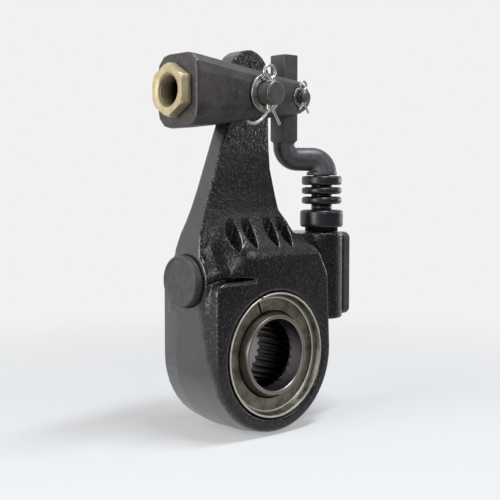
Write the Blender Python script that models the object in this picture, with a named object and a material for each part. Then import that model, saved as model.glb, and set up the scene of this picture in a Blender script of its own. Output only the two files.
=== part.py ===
"""Automatic slack adjuster for an S-cam truck brake.

A cast housing turns the camshaft through a worm and a worm wheel. The push rod's clevis swings on the
housing's arm, and its link works a rack, a pinion and a one-way clutch, which turns the worm as the
linings wear. Z runs up the arm, Y along the camshaft with the front towards -Y, and X along the worm.
The origin is the centre of the camshaft's splined hole.
"""

import math

import bmesh
import bpy
from mathutils import Matrix, Vector

MM = 0.001

# Clearances
SEAT = 0.3 * MM  # between two pieces that rest on each other
RUN = 0.3 * MM  # on the radius, between a hole and what turns or sits in it

# Worm gearing
MODULE = 2.95 * MM
WHEEL_TEETH = 21
WORM_PITCH_RADIUS = 10.275 * MM
WORM_TURNS = 3.25
GEAR_PLAY = 0.4 * MM  # on each flank
WHEEL_SIDE_PLAY = 1.2 * MM  # from the teeth's ends to the thrust faces

# Wheel hub and its spline
SPLINE_TEETH = 28
SPLINE_RADIUS = 19.05 * MM
SPLINE_DEPTH = 1.5 * MM
LEAD_IN_RADIUS = 19.4 * MM
LEAD_IN_DEPTH = 11.0 * MM
HUB_RADIUS = 23.4 * MM
HUB_LIP_RADIUS = 21.5 * MM
THRUST_DEPTH = 11.1 * MM  # from the casting's face in to where the thrust washer bears
THRUST_THICK = 1.6 * MM
SEAL_THICK = 2.9 * MM
RING_THICK = 1.5 * MM
RING_RIM_RADIUS = 33.9 * MM
RING_FLOOR_RADIUS = 31.0 * MM
RING_SPLIT = 1.6 * MM
RING_SPLIT_ANGLE = math.radians(109)

# Housing casting
HALF_WIDTH = 23.3 * MM  # half the casting's width along the camshaft
BODY_RADIUS = 41.7 * MM
BODY_DRAFT = 1.8 * MM  # how much wider the casting is at its parting line than at its faces
EDGE = 1.3 * MM
BORE_RADIUS = 34.3 * MM
BORE_CHAMFER = 1.5 * MM
TUBE_WALL = 3.6 * MM
TUBE_PROUD = 0.5 * MM
PAD_CORNER_TOP = 41.2 * MM
PAD_CORNER_RADIUS = 6.0 * MM
PAD_TOP = 54.0 * MM
PAD_RIGHT_INSET = 1.8 * MM  # of the pad's upright right edge, from BODY_RADIUS
PAD_RIGHT_CORNER = (39.5 * MM, 8.0 * MM)  # height of the corner's centre, and its radius
PAD_TOP_INSET = 8.5 * MM  # of the pad's upper right corner, likewise
SHOULDER_TOP = 64.3 * MM

# Arm
ARM_LENGTH = 139.7 * MM
ARM_HALF = 6.2 * MM
ARM_TIP_RADIUS = 14.4 * MM
ARM_TIP_RISE = 9.5 * MM  # from the pin up to the centre of the rounded tip
ARM_FLARE = 23.8 * MM  # straight part of the arm, below the pin's height plus ARM_TIP_RISE

# Rows of gills between arm and body: their places along X, and the outline of one
GILLS_X = (-22.3 * MM, -11.2 * MM, 4.4 * MM, 14.8 * MM)
GILL_WIDTH = 7.6 * MM
GILL_BOTTOM = 55.0 * MM
GILL_TOP = 75.0 * MM
GILL_LEAN = 0.17  # how far a gill leans to the right for its height
GILL_FLOOR = 8.2 * MM

# Clevis and its pins
PIN_X = -3.5 * MM
PIN_RADIUS = 6.35 * MM
PIN_END = 8.4 * MM  # how far the pin stands out of its washer
PIN_HEAD_RADIUS = 9.2 * MM
PIN_HEAD_THICK = 4.2 * MM
PIN_WASHER_RADIUS = 10.3 * MM
PIN_WASHER_THICK = 1.5 * MM
PIN_COTTER_RADIUS = 0.95 * MM
LINK_SPACING = 30.3 * MM  # from the clevis pin to the link pin
LINK_PIN_RADIUS = 3.175 * MM
LINK_PIN_END = 5.0 * MM
LINK_PIN_HEAD_RADIUS = 5.0 * MM
LINK_PIN_HEAD_THICK = 2.4 * MM
LINK_WASHER_RADIUS = 5.4 * MM
LINK_WASHER_THICK = 1.0 * MM
LINK_COTTER_RADIUS = 0.6 * MM
CLEVIS_END_X = -49.6 * MM
CLEVIS_END_ROUND = (2.2 * MM, 1.2 * MM)  # how far along and how deep the end's rounding goes
CLEVIS_END_HALF_Y = 16.8 * MM
CLEVIS_END_HALF_Z = 19.3 * MM
CLEVIS_PIN_HALF_Y = 16.5 * MM
CLEVIS_PIN_HALF_Z = 13.4 * MM
CLEVIS_TIP_HALF_Y = 12.8 * MM
CLEVIS_TIP_RADIUS = 9.6 * MM
FORK_ROOT_X = -30.0 * MM
PIN_FACE = 16.0 * MM  # spot faces of the fork, from the middle plane
LINK_FACE = 12.3 * MM
BUSHING_WALL = 1.6 * MM

# Threaded collar of the push rod
COLLAR_FLATS = 24.2 * MM
COLLAR_PROUD = 6.2 * MM
COLLAR_BORE_RADIUS = 7.4 * MM
COLLAR_SHANK_RADIUS = 11.0 * MM

# Link, rack and boot
LINK_HALF_X = 5.05 * MM
LINK_HALF_Y = 6.0 * MM
LINK_RISE = 24.0 * MM  # from the link pin up to the top of the link
LINK_SQUARE_DROP = 23.7 * MM  # from the link pin down to the end of the square stretch
LINK_ROUND_RADIUS = 5.6 * MM
LINK_ELBOW_RADIUS = 7.3 * MM
LINK_FOOT_RADIUS = 8.7 * MM
LINK_RUN_DROP = 34.0 * MM  # from the link pin down to the link's level stretch
LINK_BEND = 8.4 * MM
LINK_FOOT_BEND = 7.5 * MM
STEM_RADIUS = 4.6 * MM
SPIGOT_RADIUS = 3.2 * MM
SPIGOT_LENGTH = 5.6 * MM
LINK_SLOT = 1.2 * MM  # play of the link's pin hole along X, which the swing of the clevis takes up
LINK_FOOT_DROP = 43.4 * MM  # from the link pin down to the top of the boot
LINK_TRAVEL = 8.0 * MM  # each way, as the clevis swings
RACK_OUT = 3.8 * MM  # from the casting's right side out to the rack's axis
RACK_RADIUS = 6.0 * MM
RACK_BOTTOM = 29.0 * MM
RACK_RISE = 1.2 * MM  # of the rack's top above its boss
RACK_MODULE = 1.2 * MM
RACK_PLAY = 0.2 * MM
RACK_BORE_BOTTOM = 18.5 * MM
RACK_PIN_RADIUS = 1.3 * MM
BOSS_RADIUS = 12.2 * MM
BOSS_INSET = 1.1 * MM  # of the boss from the casting's front face
BOSS_BOTTOM = 15.0 * MM
BOOT_RING_RADIUS = 11.4 * MM
BOOT_CUFF_RADIUS = 12.3 * MM
BOOT_NECK_RADIUS = 5.9 * MM
BOOT_FOOT_RADIUS = 9.4 * MM

# Worm shaft, clutch and side cover
PINION_TEETH = 15
PINION_HALF_WIDTH = 5.0 * MM
JOURNAL_RADIUS = 8.0 * MM
DRUM_RADIUS = 7.2 * MM
SHAFT_RADIUS = 5.5 * MM
BUSHING_LENGTH = 10.0 * MM
BUSHING_INSET = 11.0 * MM  # of each worm bushing from the end of the tube
SPRING_WIRE_RADIUS = 0.9 * MM
SPRING_PITCH = 2.3 * MM
SPRING_TURNS = 2.5
COVER_OUT = 10.7 * MM  # from the rack's axis out to the cover's inner face
COVER_THICK = 5.5 * MM
COVER_HALF_Y = 18.0 * MM
COVER_BOTTOM = 16.2 * MM
COVER_TOP = 64.0 * MM
SCREW_RADIUS = 1.9 * MM
SCREW_HEAD_RADIUS = 3.5 * MM
SCREW_LENGTH = 8.8 * MM
SCREW_INSET = 3.9 * MM
HEX_FLATS = 11.1 * MM
HEX_LENGTH = 10.5 * MM
CAP_RADIUS = 13.64 * MM
CAP_THICK = 4.7 * MM
CAP_PLUG_LENGTH = 6.0 * MM
FITTING_Z = 54.0 * MM
FITTING_FLATS = 8.0 * MM

# Sizes that follow from those above
WHEEL_PITCH_RADIUS = MODULE * WHEEL_TEETH / 2
LEAD = math.pi * MODULE
WORM_Z = WHEEL_PITCH_RADIUS + WORM_PITCH_RADIUS
THRUST_FACE = HALF_WIDTH - THRUST_DEPTH
WHEEL_HALF_WIDTH = THRUST_FACE - WHEEL_SIDE_PLAY
LEAD_SLOPE = LEAD / (2 * math.pi * WORM_PITCH_RADIUS)
ADDENDUM = 0.95 * MODULE
DEDENDUM = 1.18 * MODULE
WORM_OUTER_RADIUS = WORM_PITCH_RADIUS + ADDENDUM
TUNNEL_RADIUS = WORM_OUTER_RADIUS + RUN
TUBE_RADIUS = TUNNEL_RADIUS + TUBE_WALL
WALL_X = BODY_RADIUS + BODY_DRAFT
TUBE_END_X = -WALL_X - TUBE_PROUD
BUSHING_END = -TUBE_END_X - BUSHING_INSET
PAD_RIGHT = BODY_RADIUS - PAD_RIGHT_INSET
PAD_TOP_RIGHT = BODY_RADIUS - PAD_TOP_INSET
RACK_X = WALL_X + RACK_OUT
RACK_Y = -HALF_WIDTH + BOSS_INSET + BOSS_RADIUS
COVER_X = RACK_X + COVER_OUT
PINION_PITCH_RADIUS = RACK_MODULE * PINION_TEETH / 2
PINION_ADDENDUM = 0.92 * RACK_MODULE
RACK_PITCH = math.pi * RACK_MODULE
RACK_TOP = SHOULDER_TOP + RACK_RISE
RACK_BORE_RADIUS = RACK_RADIUS + RUN
LINK_PIN_X = PIN_X + LINK_SPACING
ARM_TIP_Z = ARM_LENGTH + ARM_TIP_RISE
LINK_SQUARE_END = ARM_LENGTH - LINK_SQUARE_DROP
LINK_RUN_Z = ARM_LENGTH - LINK_RUN_DROP
BOOT_TOP = ARM_LENGTH - LINK_FOOT_DROP
FORK_HALF_GAP = ARM_HALF + SEAT
RING_FLOOR_IN = THRUST_FACE + THRUST_THICK + SEAL_THICK + 2 * SEAT

# Ways to lie: a turned piece's own axis is Z
ALONG_Z = Matrix.Identity(3)
ALONG_X = Matrix(((0, 0, 1), (0, 1, 0), (-1, 0, 0)))
TO_FRONT = Matrix(((1, 0, 0), (0, 0, -1), (0, 1, 0)))
TO_REAR = Matrix(((1, 0, 0), (0, 0, 1), (0, -1, 0)))

CAST_BLACK = ((0.022, 0.021, 0.020), 0.42, 0.0)
FORGED = ((0.070, 0.060, 0.055), 0.55, 0.4)
LINK_STEEL = ((0.060, 0.060, 0.065), 0.50, 0.5)
BRIGHT_STEEL = ((0.55, 0.53, 0.50), 0.30, 1.0)
RING_STEEL = ((0.30, 0.27, 0.22), 0.35, 1.0)
DARK_STEEL = ((0.10, 0.10, 0.10), 0.40, 0.9)
YELLOW_ZINC = ((0.62, 0.50, 0.28), 0.30, 1.0)
BRIGHT_ZINC = ((0.72, 0.72, 0.70), 0.25, 1.0)
BRONZE = ((0.45, 0.27, 0.12), 0.40, 1.0)
RUBBER = ((0.020, 0.020, 0.022), 0.60, 0.0)
FLAT_GREY = ((0.11, 0.11, 0.11), 0.60, 0.1)


def clear_scene():
    for obj in list(bpy.data.objects):
        bpy.data.objects.remove(obj, do_unlink=True)


def material(name, look):
    colour, roughness, metallic = look
    made = bpy.data.materials.new(name)
    made.use_nodes = True
    shader = made.node_tree.nodes["Principled BSDF"]
    shader.inputs["Base Color"].default_value = (*colour, 1.0)
    shader.inputs["Roughness"].default_value = roughness
    shader.inputs["Metallic"].default_value = metallic
    made.diffuse_color = (*colour, 1.0)
    return made


def axis_empty(name, place):
    """An empty on a joint's axis, which carries the pieces that move together."""
    empty = bpy.data.objects.new(name, None)
    empty.location = place
    bpy.context.collection.objects.link(empty)
    return empty


def add_object(name, bm, look, lie, place, parent):
    """An object of this mesh, laid along its axis at a place that is given in the scene's own frame."""
    bmesh.ops.remove_doubles(bm, verts=bm.verts, dist=1e-7)
    bmesh.ops.recalc_face_normals(bm, faces=bm.faces)
    mesh = bpy.data.meshes.new(name)
    bm.to_mesh(mesh)
    bm.free()
    mesh.shade_smooth()
    mesh.set_sharp_from_angle(angle=math.radians(32))
    obj = bpy.data.objects.new(name, mesh)
    origin = parent.location if parent else Vector((0, 0, 0))
    obj.matrix_basis = Matrix.Translation(Vector(place) - origin) @ lie.to_4x4()
    obj.parent = parent
    bpy.context.collection.objects.link(obj)
    if look:
        mesh.materials.append(material(name, look))
    return obj


def piece(name, bm, look, lie=ALONG_Z, place=(0, 0, 0), parent=None):
    """A piece of the slack adjuster."""
    return add_object(name, bm, look, lie, place, parent)


def helper(name, bm, lie=ALONG_Z, place=(0, 0, 0), parent=None):
    """A shape that only joins or cuts a piece."""
    obj = add_object(name, bm, None, lie, place, parent)
    obj.hide_render = True
    obj.display_type = "WIRE"
    return obj


def combine(obj, other, operation):
    modifier = obj.modifiers.new(f"{operation.lower()} {other.name}", "BOOLEAN")
    modifier.operation = operation
    modifier.object = other
    modifier.solver = "EXACT"


def turned(profile, steps):
    """The solid that a profile of (radius, height) points sweeps round Z. A profile that starts and ends
    on the axis makes a full body, and any other is closed into a ring."""
    bm = bmesh.new()
    verts = [bm.verts.new((radius, 0, height)) for radius, height in profile]
    edges = [bm.edges.new(pair) for pair in zip(verts, verts[1:])]
    if profile[0][0] > 0 or profile[-1][0] > 0:
        edges.append(bm.edges.new((verts[-1], verts[0])))
    outline, full = verts + edges, 2 * math.pi
    bmesh.ops.spin(bm, geom=outline, axis=(0, 0, 1), cent=(0, 0, 0), angle=full, steps=steps, use_merge=True)
    bmesh.ops.remove_doubles(bm, verts=bm.verts, dist=1e-7)
    # Each flat end becomes one face instead of a fan of triangles.
    hubs = [vert for vert in bm.verts if vert.co.xy.length < 1e-7]
    bmesh.ops.dissolve_verts(bm, verts=hubs)
    return bm


def rod(radius, low, high, steps=32, chamfer=0.0):
    """A round bar along Z with chamfered ends."""
    profile = [(0, low), (radius - chamfer, low)]
    if chamfer:
        profile += [(radius, low + chamfer), (radius, high - chamfer)]
    else:
        profile += [(radius, high)]
    if chamfer:
        profile += [(radius - chamfer, high)]
    profile += [(0, high)]
    return turned(profile, steps)


def tube(inner, outer, low, high, steps=36, chamfer=0.0):
    """A plain ring round Z whose outer edges are chamfered."""
    profile = [(inner, low), (outer - chamfer, low)]
    if chamfer:
        profile += [(outer, low + chamfer), (outer, high - chamfer)]
    else:
        profile += [(outer, high)]
    if chamfer:
        profile += [(outer - chamfer, high)]
    profile += [(inner, high)]
    return turned(profile, steps)


def skin(bm, rings):
    """A closed skin over rings of equally many points, with a face over each end."""
    loops = [[bm.verts.new(point) for point in ring] for ring in rings]
    for lower, upper in zip(loops, loops[1:]):
        for i in range(len(lower)):
            j = (i + 1) % len(lower)
            bm.faces.new((lower[i], lower[j], upper[j], upper[i]))
    bm.faces.new(list(reversed(loops[0])))
    bm.faces.new(loops[-1])


def loft(rings):
    bm = bmesh.new()
    skin(bm, rings)
    bmesh.ops.triangulate(bm, faces=[face for face in bm.faces if len(face.verts) == 4])
    return bm


def wire(path, radius, sides=6):
    """A round wire swept along a path of points without twisting."""
    points = [Vector(point) for point in path]
    ways = [(points[1] - points[0]).normalized()]
    for before, after in zip(points, points[2:]):
        ways.append((after - before).normalized())
    ways.append((points[-1] - points[-2]).normalized())
    side = ways[0].orthogonal().normalized()
    rings = []
    for point, way in zip(points, ways):
        side = (side - way * side.dot(way)).normalized()
        across = way.cross(side)
        ring = []
        for i in range(sides):
            angle = 2 * math.pi * i / sides
            ring.append(point + (side * math.cos(angle) + across * math.sin(angle)) * radius)
        rings.append(ring)
    return loft(rings)


def prism(outline, low, high):
    """An outline of (x, y) points drawn out along Z."""
    return loft([[(x, y, low) for x, y in outline], [(x, y, high) for x, y in outline]])


def box(low, high):
    bm = bmesh.new()
    bmesh.ops.create_cube(bm, size=1)
    size = [b - a for a, b in zip(low, high)]
    middle = [(a + b) / 2 for a, b in zip(low, high)]
    bmesh.ops.scale(bm, verts=bm.verts, vec=size)
    bmesh.ops.translate(bm, verts=bm.verts, vec=middle)
    return bm


def arc(centre, radius, start, end, steps):
    """Points on an arc between two angles in degrees, both ends included."""
    points = []
    for i in range(steps + 1):
        angle = math.radians(start + (end - start) * i / steps)
        points.append((centre[0] + radius * math.cos(angle), centre[1] + radius * math.sin(angle)))
    return points


def hexagon(flats, turn=0.0):
    radius = flats / math.sqrt(3)
    angles = [turn + k * math.pi / 3 for k in range(6)]
    return [(radius * math.cos(angle), radius * math.sin(angle)) for angle in angles]


def rounded_box_ring(half_u, half_v, corner, steps=2):
    """A rectangle round the origin with rounded corners."""
    points = []
    for sign_u, sign_v, start in ((1, 1, 0), (-1, 1, 90), (-1, -1, 180), (1, -1, 270)):
        centre = (sign_u * (half_u - corner), sign_v * (half_v - corner))
        points += arc(centre, corner, start, start + 90, steps)
    return points


def blend(low, high, share):
    return low + (high - low) * share


# Gear teeth


def involute(angle):
    return math.tan(angle) - angle


def tooth_half_angle(radius, pitch_radius, half_thickness, pressure=math.radians(20)):
    """Half the angle that a gear tooth takes up at a radius."""
    base = pitch_radius * math.cos(pressure)
    here = math.acos(base / radius) if radius > base else 0.0
    return half_thickness / pitch_radius + involute(pressure) - involute(here)


def gear_outline(teeth, pitch_radius, addendum, dedendum, half_thickness):
    """A spur gear's outline. A tooth space lies on +X."""
    root = pitch_radius - dedendum
    tip = pitch_radius + addendum
    radii = (root, pitch_radius, tip)
    flank = [(radius, tooth_half_angle(radius, pitch_radius, half_thickness)) for radius in radii]
    points = []
    for tooth in range(teeth):
        middle = 2 * math.pi * (tooth + 0.5) / teeth
        for radius, half in flank:
            points.append((radius * math.cos(middle - half), radius * math.sin(middle - half)))
        for radius, half in reversed(flank):
            points.append((radius * math.cos(middle + half), radius * math.sin(middle + half)))
    return points


def turned_outline(outline, angle):
    cos, sin = math.cos(angle), math.sin(angle)
    return [(x * cos - y * sin, x * sin + y * cos) for x, y in outline]


# Housing


def body_outline(grow):
    """The body's side outline in X and Z, let out by this much: round below, with a corner at the upper
    left, and a longer one at the upper right below the shoulder."""
    radius = BODY_RADIUS + grow
    corner_z, corner_radius = PAD_RIGHT_CORNER
    points = arc((0, 0), radius, 180, 360, 24)
    points += arc((PAD_RIGHT - corner_radius, corner_z), corner_radius + grow, 0, 30, 3)
    points += [(PAD_TOP_RIGHT + grow, PAD_TOP), (-9.0 * MM, PAD_TOP), (-14.0 * MM, PAD_CORNER_TOP + grow)]
    left = (-BODY_RADIUS + PAD_CORNER_RADIUS, PAD_CORNER_TOP - PAD_CORNER_RADIUS)
    points += arc(left, PAD_CORNER_RADIUS + grow, 90, 180, 4)
    return points


def body_block():
    """The thick lower body, widest at its parting line and rounded at both faces."""
    middle = 0.4 * HALF_WIDTH
    rings = []
    for y, grow in (
        (-HALF_WIDTH, -EDGE),
        (-HALF_WIDTH + EDGE, 0.0),
        (-middle, BODY_DRAFT),
        (middle, BODY_DRAFT),
        (HALF_WIDTH - EDGE, 0.0),
        (HALF_WIDTH, -EDGE),
    ):
        rings.append([(x, y, z) for x, z in body_outline(grow)])
    return loft(rings)


def arm_sections():
    """Height, left edge, right edge and half thickness down the arm, from its tip into the body."""
    left = PIN_X - ARM_TIP_RADIUS - 0.7 * MM
    right = PIN_X + ARM_TIP_RADIUS - 0.7 * MM
    middle, radius = (left + right) / 2, (right - left) / 2
    sections = []
    for angle in (84, 66, 48, 30, 14):
        half = radius * math.cos(math.radians(angle))
        rise = radius * math.sin(math.radians(angle))
        sections.append((ARM_TIP_Z + rise, middle - half, middle + half, ARM_HALF))
    flare = ARM_TIP_Z - ARM_FLARE
    sections.append((ARM_TIP_Z, left, right, ARM_HALF))
    sections.append((flare, left - 0.2 * MM, right - 0.4 * MM, ARM_HALF))
    # From the flare down to the worm the left edge runs almost straight and the right one curves outwards.
    for share, right_share, half_share in (
        (0.16, 0.02, 0.0),
        (0.30, 0.08, 0.0),
        (0.44, 0.28, 0.0),
        (0.55, 0.42, 0.05),
        (0.63, 0.50, 0.15),
        (0.73, 0.60, 0.33),
        (0.81, 0.70, 0.46),
        (0.89, 0.80, 0.60),
        (1.00, 1.00, 1.00),
    ):
        z = blend(flare, WORM_Z, share)
        reach = min(1.0, share / 0.78)
        ease = 1 - 0.12 * max(0.0, (reach - 0.8) / 0.2) * (1 - reach) if reach < 1 else 1.0
        x_left = blend(left - 0.2 * MM, -WALL_X, reach * ease)
        x_right = blend(right - 0.4 * MM, 26.0 * MM, right_share)
        sections.append((z, x_left, x_right, blend(ARM_HALF, TUBE_RADIUS - 0.6 * MM, half_share)))
    sections.append((WORM_Z - TUBE_RADIUS, -WALL_X, 26.0 * MM, TUBE_RADIUS - 0.6 * MM))
    return sections


def arm_blank():
    rings = []
    for z, left, right, half in arm_sections():
        middle, half_x = (left + right) / 2, (right - left) / 2
        corner = min(1.6 * MM, 0.6 * half_x)
        rings.append([(middle + u, v, z) for u, v in rounded_box_ring(half_x, half, corner)])
    return loft(rings)


def shoulder_half(z, share):
    """Half the shoulder's thickness at a height, where it is full and where it has faded into the tube."""
    levels = (
        (41.5 * MM, 16.7 * MM, HALF_WIDTH - 0.3 * MM),
        (46.0 * MM, 16.2 * MM, HALF_WIDTH - 0.25 * MM),
        (52.0 * MM, 13.0 * MM, HALF_WIDTH - 0.3 * MM),
        (57.5 * MM, 10.5 * MM, HALF_WIDTH - 1.6 * MM),
        (66.0 * MM, 8.0 * MM, 13.4 * MM),
        (78.0 * MM, 5.0 * MM, 5.6 * MM),
    )
    for lower, upper in zip(levels, levels[1:]):
        if z <= upper[0] + 1e-9:
            part = (z - lower[0]) / (upper[0] - lower[0])
            return blend(blend(lower[1], upper[1], part), blend(lower[2], upper[2], part), share)
    return levels[-1][1]


def shoulder_blank():
    """The slope between the arm's face and the body's face, lofted along X. It fades out on the left,
    over the worm's tube, and ends on the right at the clutch block's top and along the pad's edge."""
    bottom = 41.5 * MM
    rings = []
    for x, share, top in (
        (-41.5, 0.0, 66.0),
        (-36.0, 0.08, 75.5),
        (-30.0, 0.33, 78.0),
        (-25.5, 0.70, 78.0),
        (-21.0, 0.93, 78.0),
        (-16.0, 1.0, 78.0),
        (17.0, 1.0, 78.0),
        (20.0, 1.0, 70.5),
        (20.8, 1.0, 64.7),
        (26.6, 1.0, 64.3),
        (33.0, 1.0, 54.3),
    ):
        front, rear = [], []
        for level in range(8):
            z = blend(bottom, top * MM, level / 7)
            half = shoulder_half(z, share)
            front.append((x * MM, -half, z))
            rear.append((x * MM, half, z))
        rings.append(front + list(reversed(rear)))
    return loft(rings)


def crevice_cutter():
    """The sharp crease between the pad's upper edge and the worm's tube."""
    lower = [(-47.0, 37.5), (-41.5, 40.0), (-34.0, 41.2), (-25.0, 41.3), (-17.0, 41.6), (-12.0, 42.2)]
    upper = [(-12.0, 42.3), (-17.0, 42.6), (-25.0, 43.0), (-34.0, 43.0), (-41.5, 41.8), (-47.0, 38.4)]
    outline = [(x * MM, z * MM) for x, z in lower + upper]
    low, high = -HALF_WIDTH - 3 * MM, -TUBE_RADIUS + 0.8 * MM
    return loft([[(x, low, z) for x, z in outline], [(x, high, z) for x, z in outline]])


def clutch_block():
    """The block behind the rack's boss, which closes in the clutch and carries the side cover."""
    low_y, high_y = RACK_Y - 4.0 * MM, COVER_HALF_Y - 1.0 * MM
    left, right = 22.0 * MM, COVER_X - SEAT
    middle = ((left + right) / 2, (low_y + high_y) / 2)
    outline = rounded_box_ring((right - left) / 2, (high_y - low_y) / 2, 3.5 * MM, 3)
    outline = [(middle[0] + u, middle[1] + v) for u, v in outline]
    return prism(outline, COVER_BOTTOM + 0.4 * MM, SHOULDER_TOP - 0.3 * MM)


def gill_cutter(x):
    """A lens pointed at its lower end and rounded at the top, cut back to a floor in front of the arm."""
    height = GILL_TOP - GILL_BOTTOM
    half = GILL_WIDTH / 2
    right, left = [], []
    for share in (0.0, 0.12, 0.28, 0.46, 0.64, 0.80, 0.92, 0.98):
        width = half * math.sin(math.pi * share**0.85) ** 0.7 if share else 0.0
        middle = x + GILL_LEAN * height * (share - 0.5)
        z = GILL_BOTTOM + share * height
        right.append((middle + width, z))
        if share:
            left.append((middle - width, z))
    outline = right + [(x + 0.5 * GILL_LEAN * height, GILL_TOP)] + list(reversed(left))
    front = -HALF_WIDTH - 3 * MM
    return loft([[(u, front, z) for u, z in outline], [(u, -GILL_FLOOR, z) for u, z in outline]])


def screw_places():
    for y in (-COVER_HALF_Y + SCREW_INSET, COVER_HALF_Y - SCREW_INSET):
        for z in (COVER_BOTTOM + SCREW_INSET, COVER_TOP - SCREW_INSET):
            yield y, z


def make_housing():
    housing = piece("housing", body_block(), CAST_BLACK)
    worm_tube = rod(TUBE_RADIUS, TUBE_END_X, COVER_X - SEAT - 0.2 * MM, 40, 1.0 * MM)
    boss = rod(BOSS_RADIUS, BOSS_BOTTOM, SHOULDER_TOP, 32, 0.8 * MM)
    for name, bm, lie, place in (
        ("arm blank", arm_blank(), ALONG_Z, (0, 0, 0)),
        ("shoulder blank", shoulder_blank(), ALONG_Z, (0, 0, 0)),
        ("worm tube", worm_tube, ALONG_X, (0, 0, WORM_Z)),
        ("rack boss", boss, ALONG_Z, (RACK_X, RACK_Y, 0)),
        ("clutch block", clutch_block(), ALONG_Z, (0, 0, 0)),
    ):
        combine(housing, helper(name, bm, lie, place), "UNION")

    reach = HALF_WIDTH + 1 * MM
    mouth = BORE_RADIUS + BORE_CHAMFER + 1 * MM
    bore = [(0, -reach), (mouth, -reach), (BORE_RADIUS, -HALF_WIDTH + BORE_CHAMFER)]
    bore += [(BORE_RADIUS, HALF_WIDTH - BORE_CHAMFER), (mouth, reach), (0, reach)]
    tunnel = rod(TUNNEL_RADIUS, TUBE_END_X - 5 * MM, COVER_X + 5 * MM, 36)
    rack_bore = rod(RACK_BORE_RADIUS, RACK_BORE_BOTTOM, SHOULDER_TOP + 5 * MM, 28)
    pin_hole = rod(PIN_RADIUS + RUN + BUSHING_WALL + SEAT, -reach, reach, 28)
    fitting = rod(0.3 * FITTING_FLATS + SEAT, 10 * MM, 30 * MM, 12)
    cover_face = box((COVER_X - SEAT, -reach, 0), (COVER_X + 10 * MM, reach, SHOULDER_TOP + 10 * MM))
    cutters = [
        ("cover face", cover_face, ALONG_Z, (0, 0, 0)),
        ("wheel bore", turned(bore, 48), TO_FRONT, (0, 0, 0)),
        ("worm tunnel", tunnel, ALONG_X, (0, 0, WORM_Z)),
        ("rack bore", rack_bore, ALONG_Z, (RACK_X, RACK_Y, 0)),
        ("pin hole", pin_hole, TO_FRONT, (PIN_X, 0, ARM_LENGTH)),
        ("fitting hole", fitting, TO_REAR, (RACK_X, 0, FITTING_Z)),
    ]
    cutters.append(("crevice", crevice_cutter(), ALONG_Z, (0, 0, 0)))
    for number, x in enumerate(GILLS_X, 1):
        cutters.append((f"gill {number}", gill_cutter(x), ALONG_Z, (0, 0, 0)))
    screw_end = COVER_X + COVER_THICK - SCREW_LENGTH
    for number, (y, z) in enumerate(screw_places(), 1):
        hole = rod(SCREW_RADIUS + SEAT, screw_end - 0.6 * MM, COVER_X + 1 * MM, 8)
        cutters.append((f"screw hole {number}", hole, ALONG_X, (0, y, z)))
    for name, bm, lie, place in cutters:
        combine(housing, helper(name, bm, lie, place), "DIFFERENCE")


def make_arm_bushing():
    inner = PIN_RADIUS + RUN
    bm = tube(inner, inner + BUSHING_WALL, -ARM_HALF, ARM_HALF, 24)
    piece("arm_bushing", bm, BRONZE, TO_FRONT, (PIN_X, 0, ARM_LENGTH))


# Worm wheel and what closes it in


def make_worm_wheel(parent):
    end = HALF_WIDTH - 0.2 * MM
    spline_end = end - LEAD_IN_DEPTH
    minor = SPLINE_RADIUS - SPLINE_DEPTH
    outer = WHEEL_PITCH_RADIUS - DEDENDUM - 0.8 * MM
    foot = RING_FLOOR_IN + RING_THICK
    half = [
        (minor, spline_end),
        (LEAD_IN_RADIUS, spline_end + 1.0 * MM),
        (LEAD_IN_RADIUS, end - 0.5 * MM),
        (LEAD_IN_RADIUS + 0.5 * MM, end),
        (HUB_LIP_RADIUS, end),
        (HUB_RADIUS, foot),
        (HUB_RADIUS, THRUST_FACE),
        (outer, THRUST_FACE),
    ]
    other = [(radius, -height) for radius, height in reversed(half)]
    wheel = piece("worm_wheel", turned(half + other, 36), RING_STEEL, TO_FRONT, (0, 0, 0), parent)

    half_thickness = LEAD / 4 - GEAR_PLAY / 2
    outline = gear_outline(WHEEL_TEETH, WHEEL_PITCH_RADIUS, ADDENDUM, DEDENDUM, half_thickness)
    rings = []
    for share in (-1, 0, 1):
        z = share * WHEEL_HALF_WIDTH
        # A space lies straight up at the middle plane, and the teeth lean with the worm's thread.
        lean = math.pi / 2 + z * LEAD_SLOPE / WHEEL_PITCH_RADIUS
        rings.append([(x, y, z) for x, y in turned_outline(outline, lean)])
    combine(wheel, helper("wheel teeth", loft(rings), TO_FRONT, (0, 0, 0), parent), "UNION")

    points = []
    inside = minor - 0.5 * MM
    for tooth in range(SPLINE_TEETH):
        for radius, share in ((inside, -0.3), (SPLINE_RADIUS, -0.17), (SPLINE_RADIUS, 0.17), (inside, 0.3)):
            angle = 2 * math.pi * (tooth + share) / SPLINE_TEETH
            points.append((radius * math.cos(angle), radius * math.sin(angle)))
    reach = spline_end + 2 * MM
    spline = helper("spline", prism(points, -reach, reach), TO_FRONT, (0, 0, 0), parent)
    combine(wheel, spline, "DIFFERENCE")


def retaining_ring():
    """A dished spring ring: a flat floor that holds the seal, and a rim flush with the casting."""
    floor, rim = RING_FLOOR_IN, HALF_WIDTH - 0.1 * MM
    inner = HUB_RADIUS + 0.4 * MM
    profile = [
        (inner, floor),
        (RING_FLOOR_RADIUS + 1.6 * MM, floor),
        (RING_RIM_RADIUS, floor + 1.2 * MM),
        (RING_RIM_RADIUS, rim),
        (RING_RIM_RADIUS - 1.0 * MM, rim),
        (RING_FLOOR_RADIUS, floor + RING_THICK),
        (inner, floor + RING_THICK),
    ]
    return turned(profile, 36)


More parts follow.
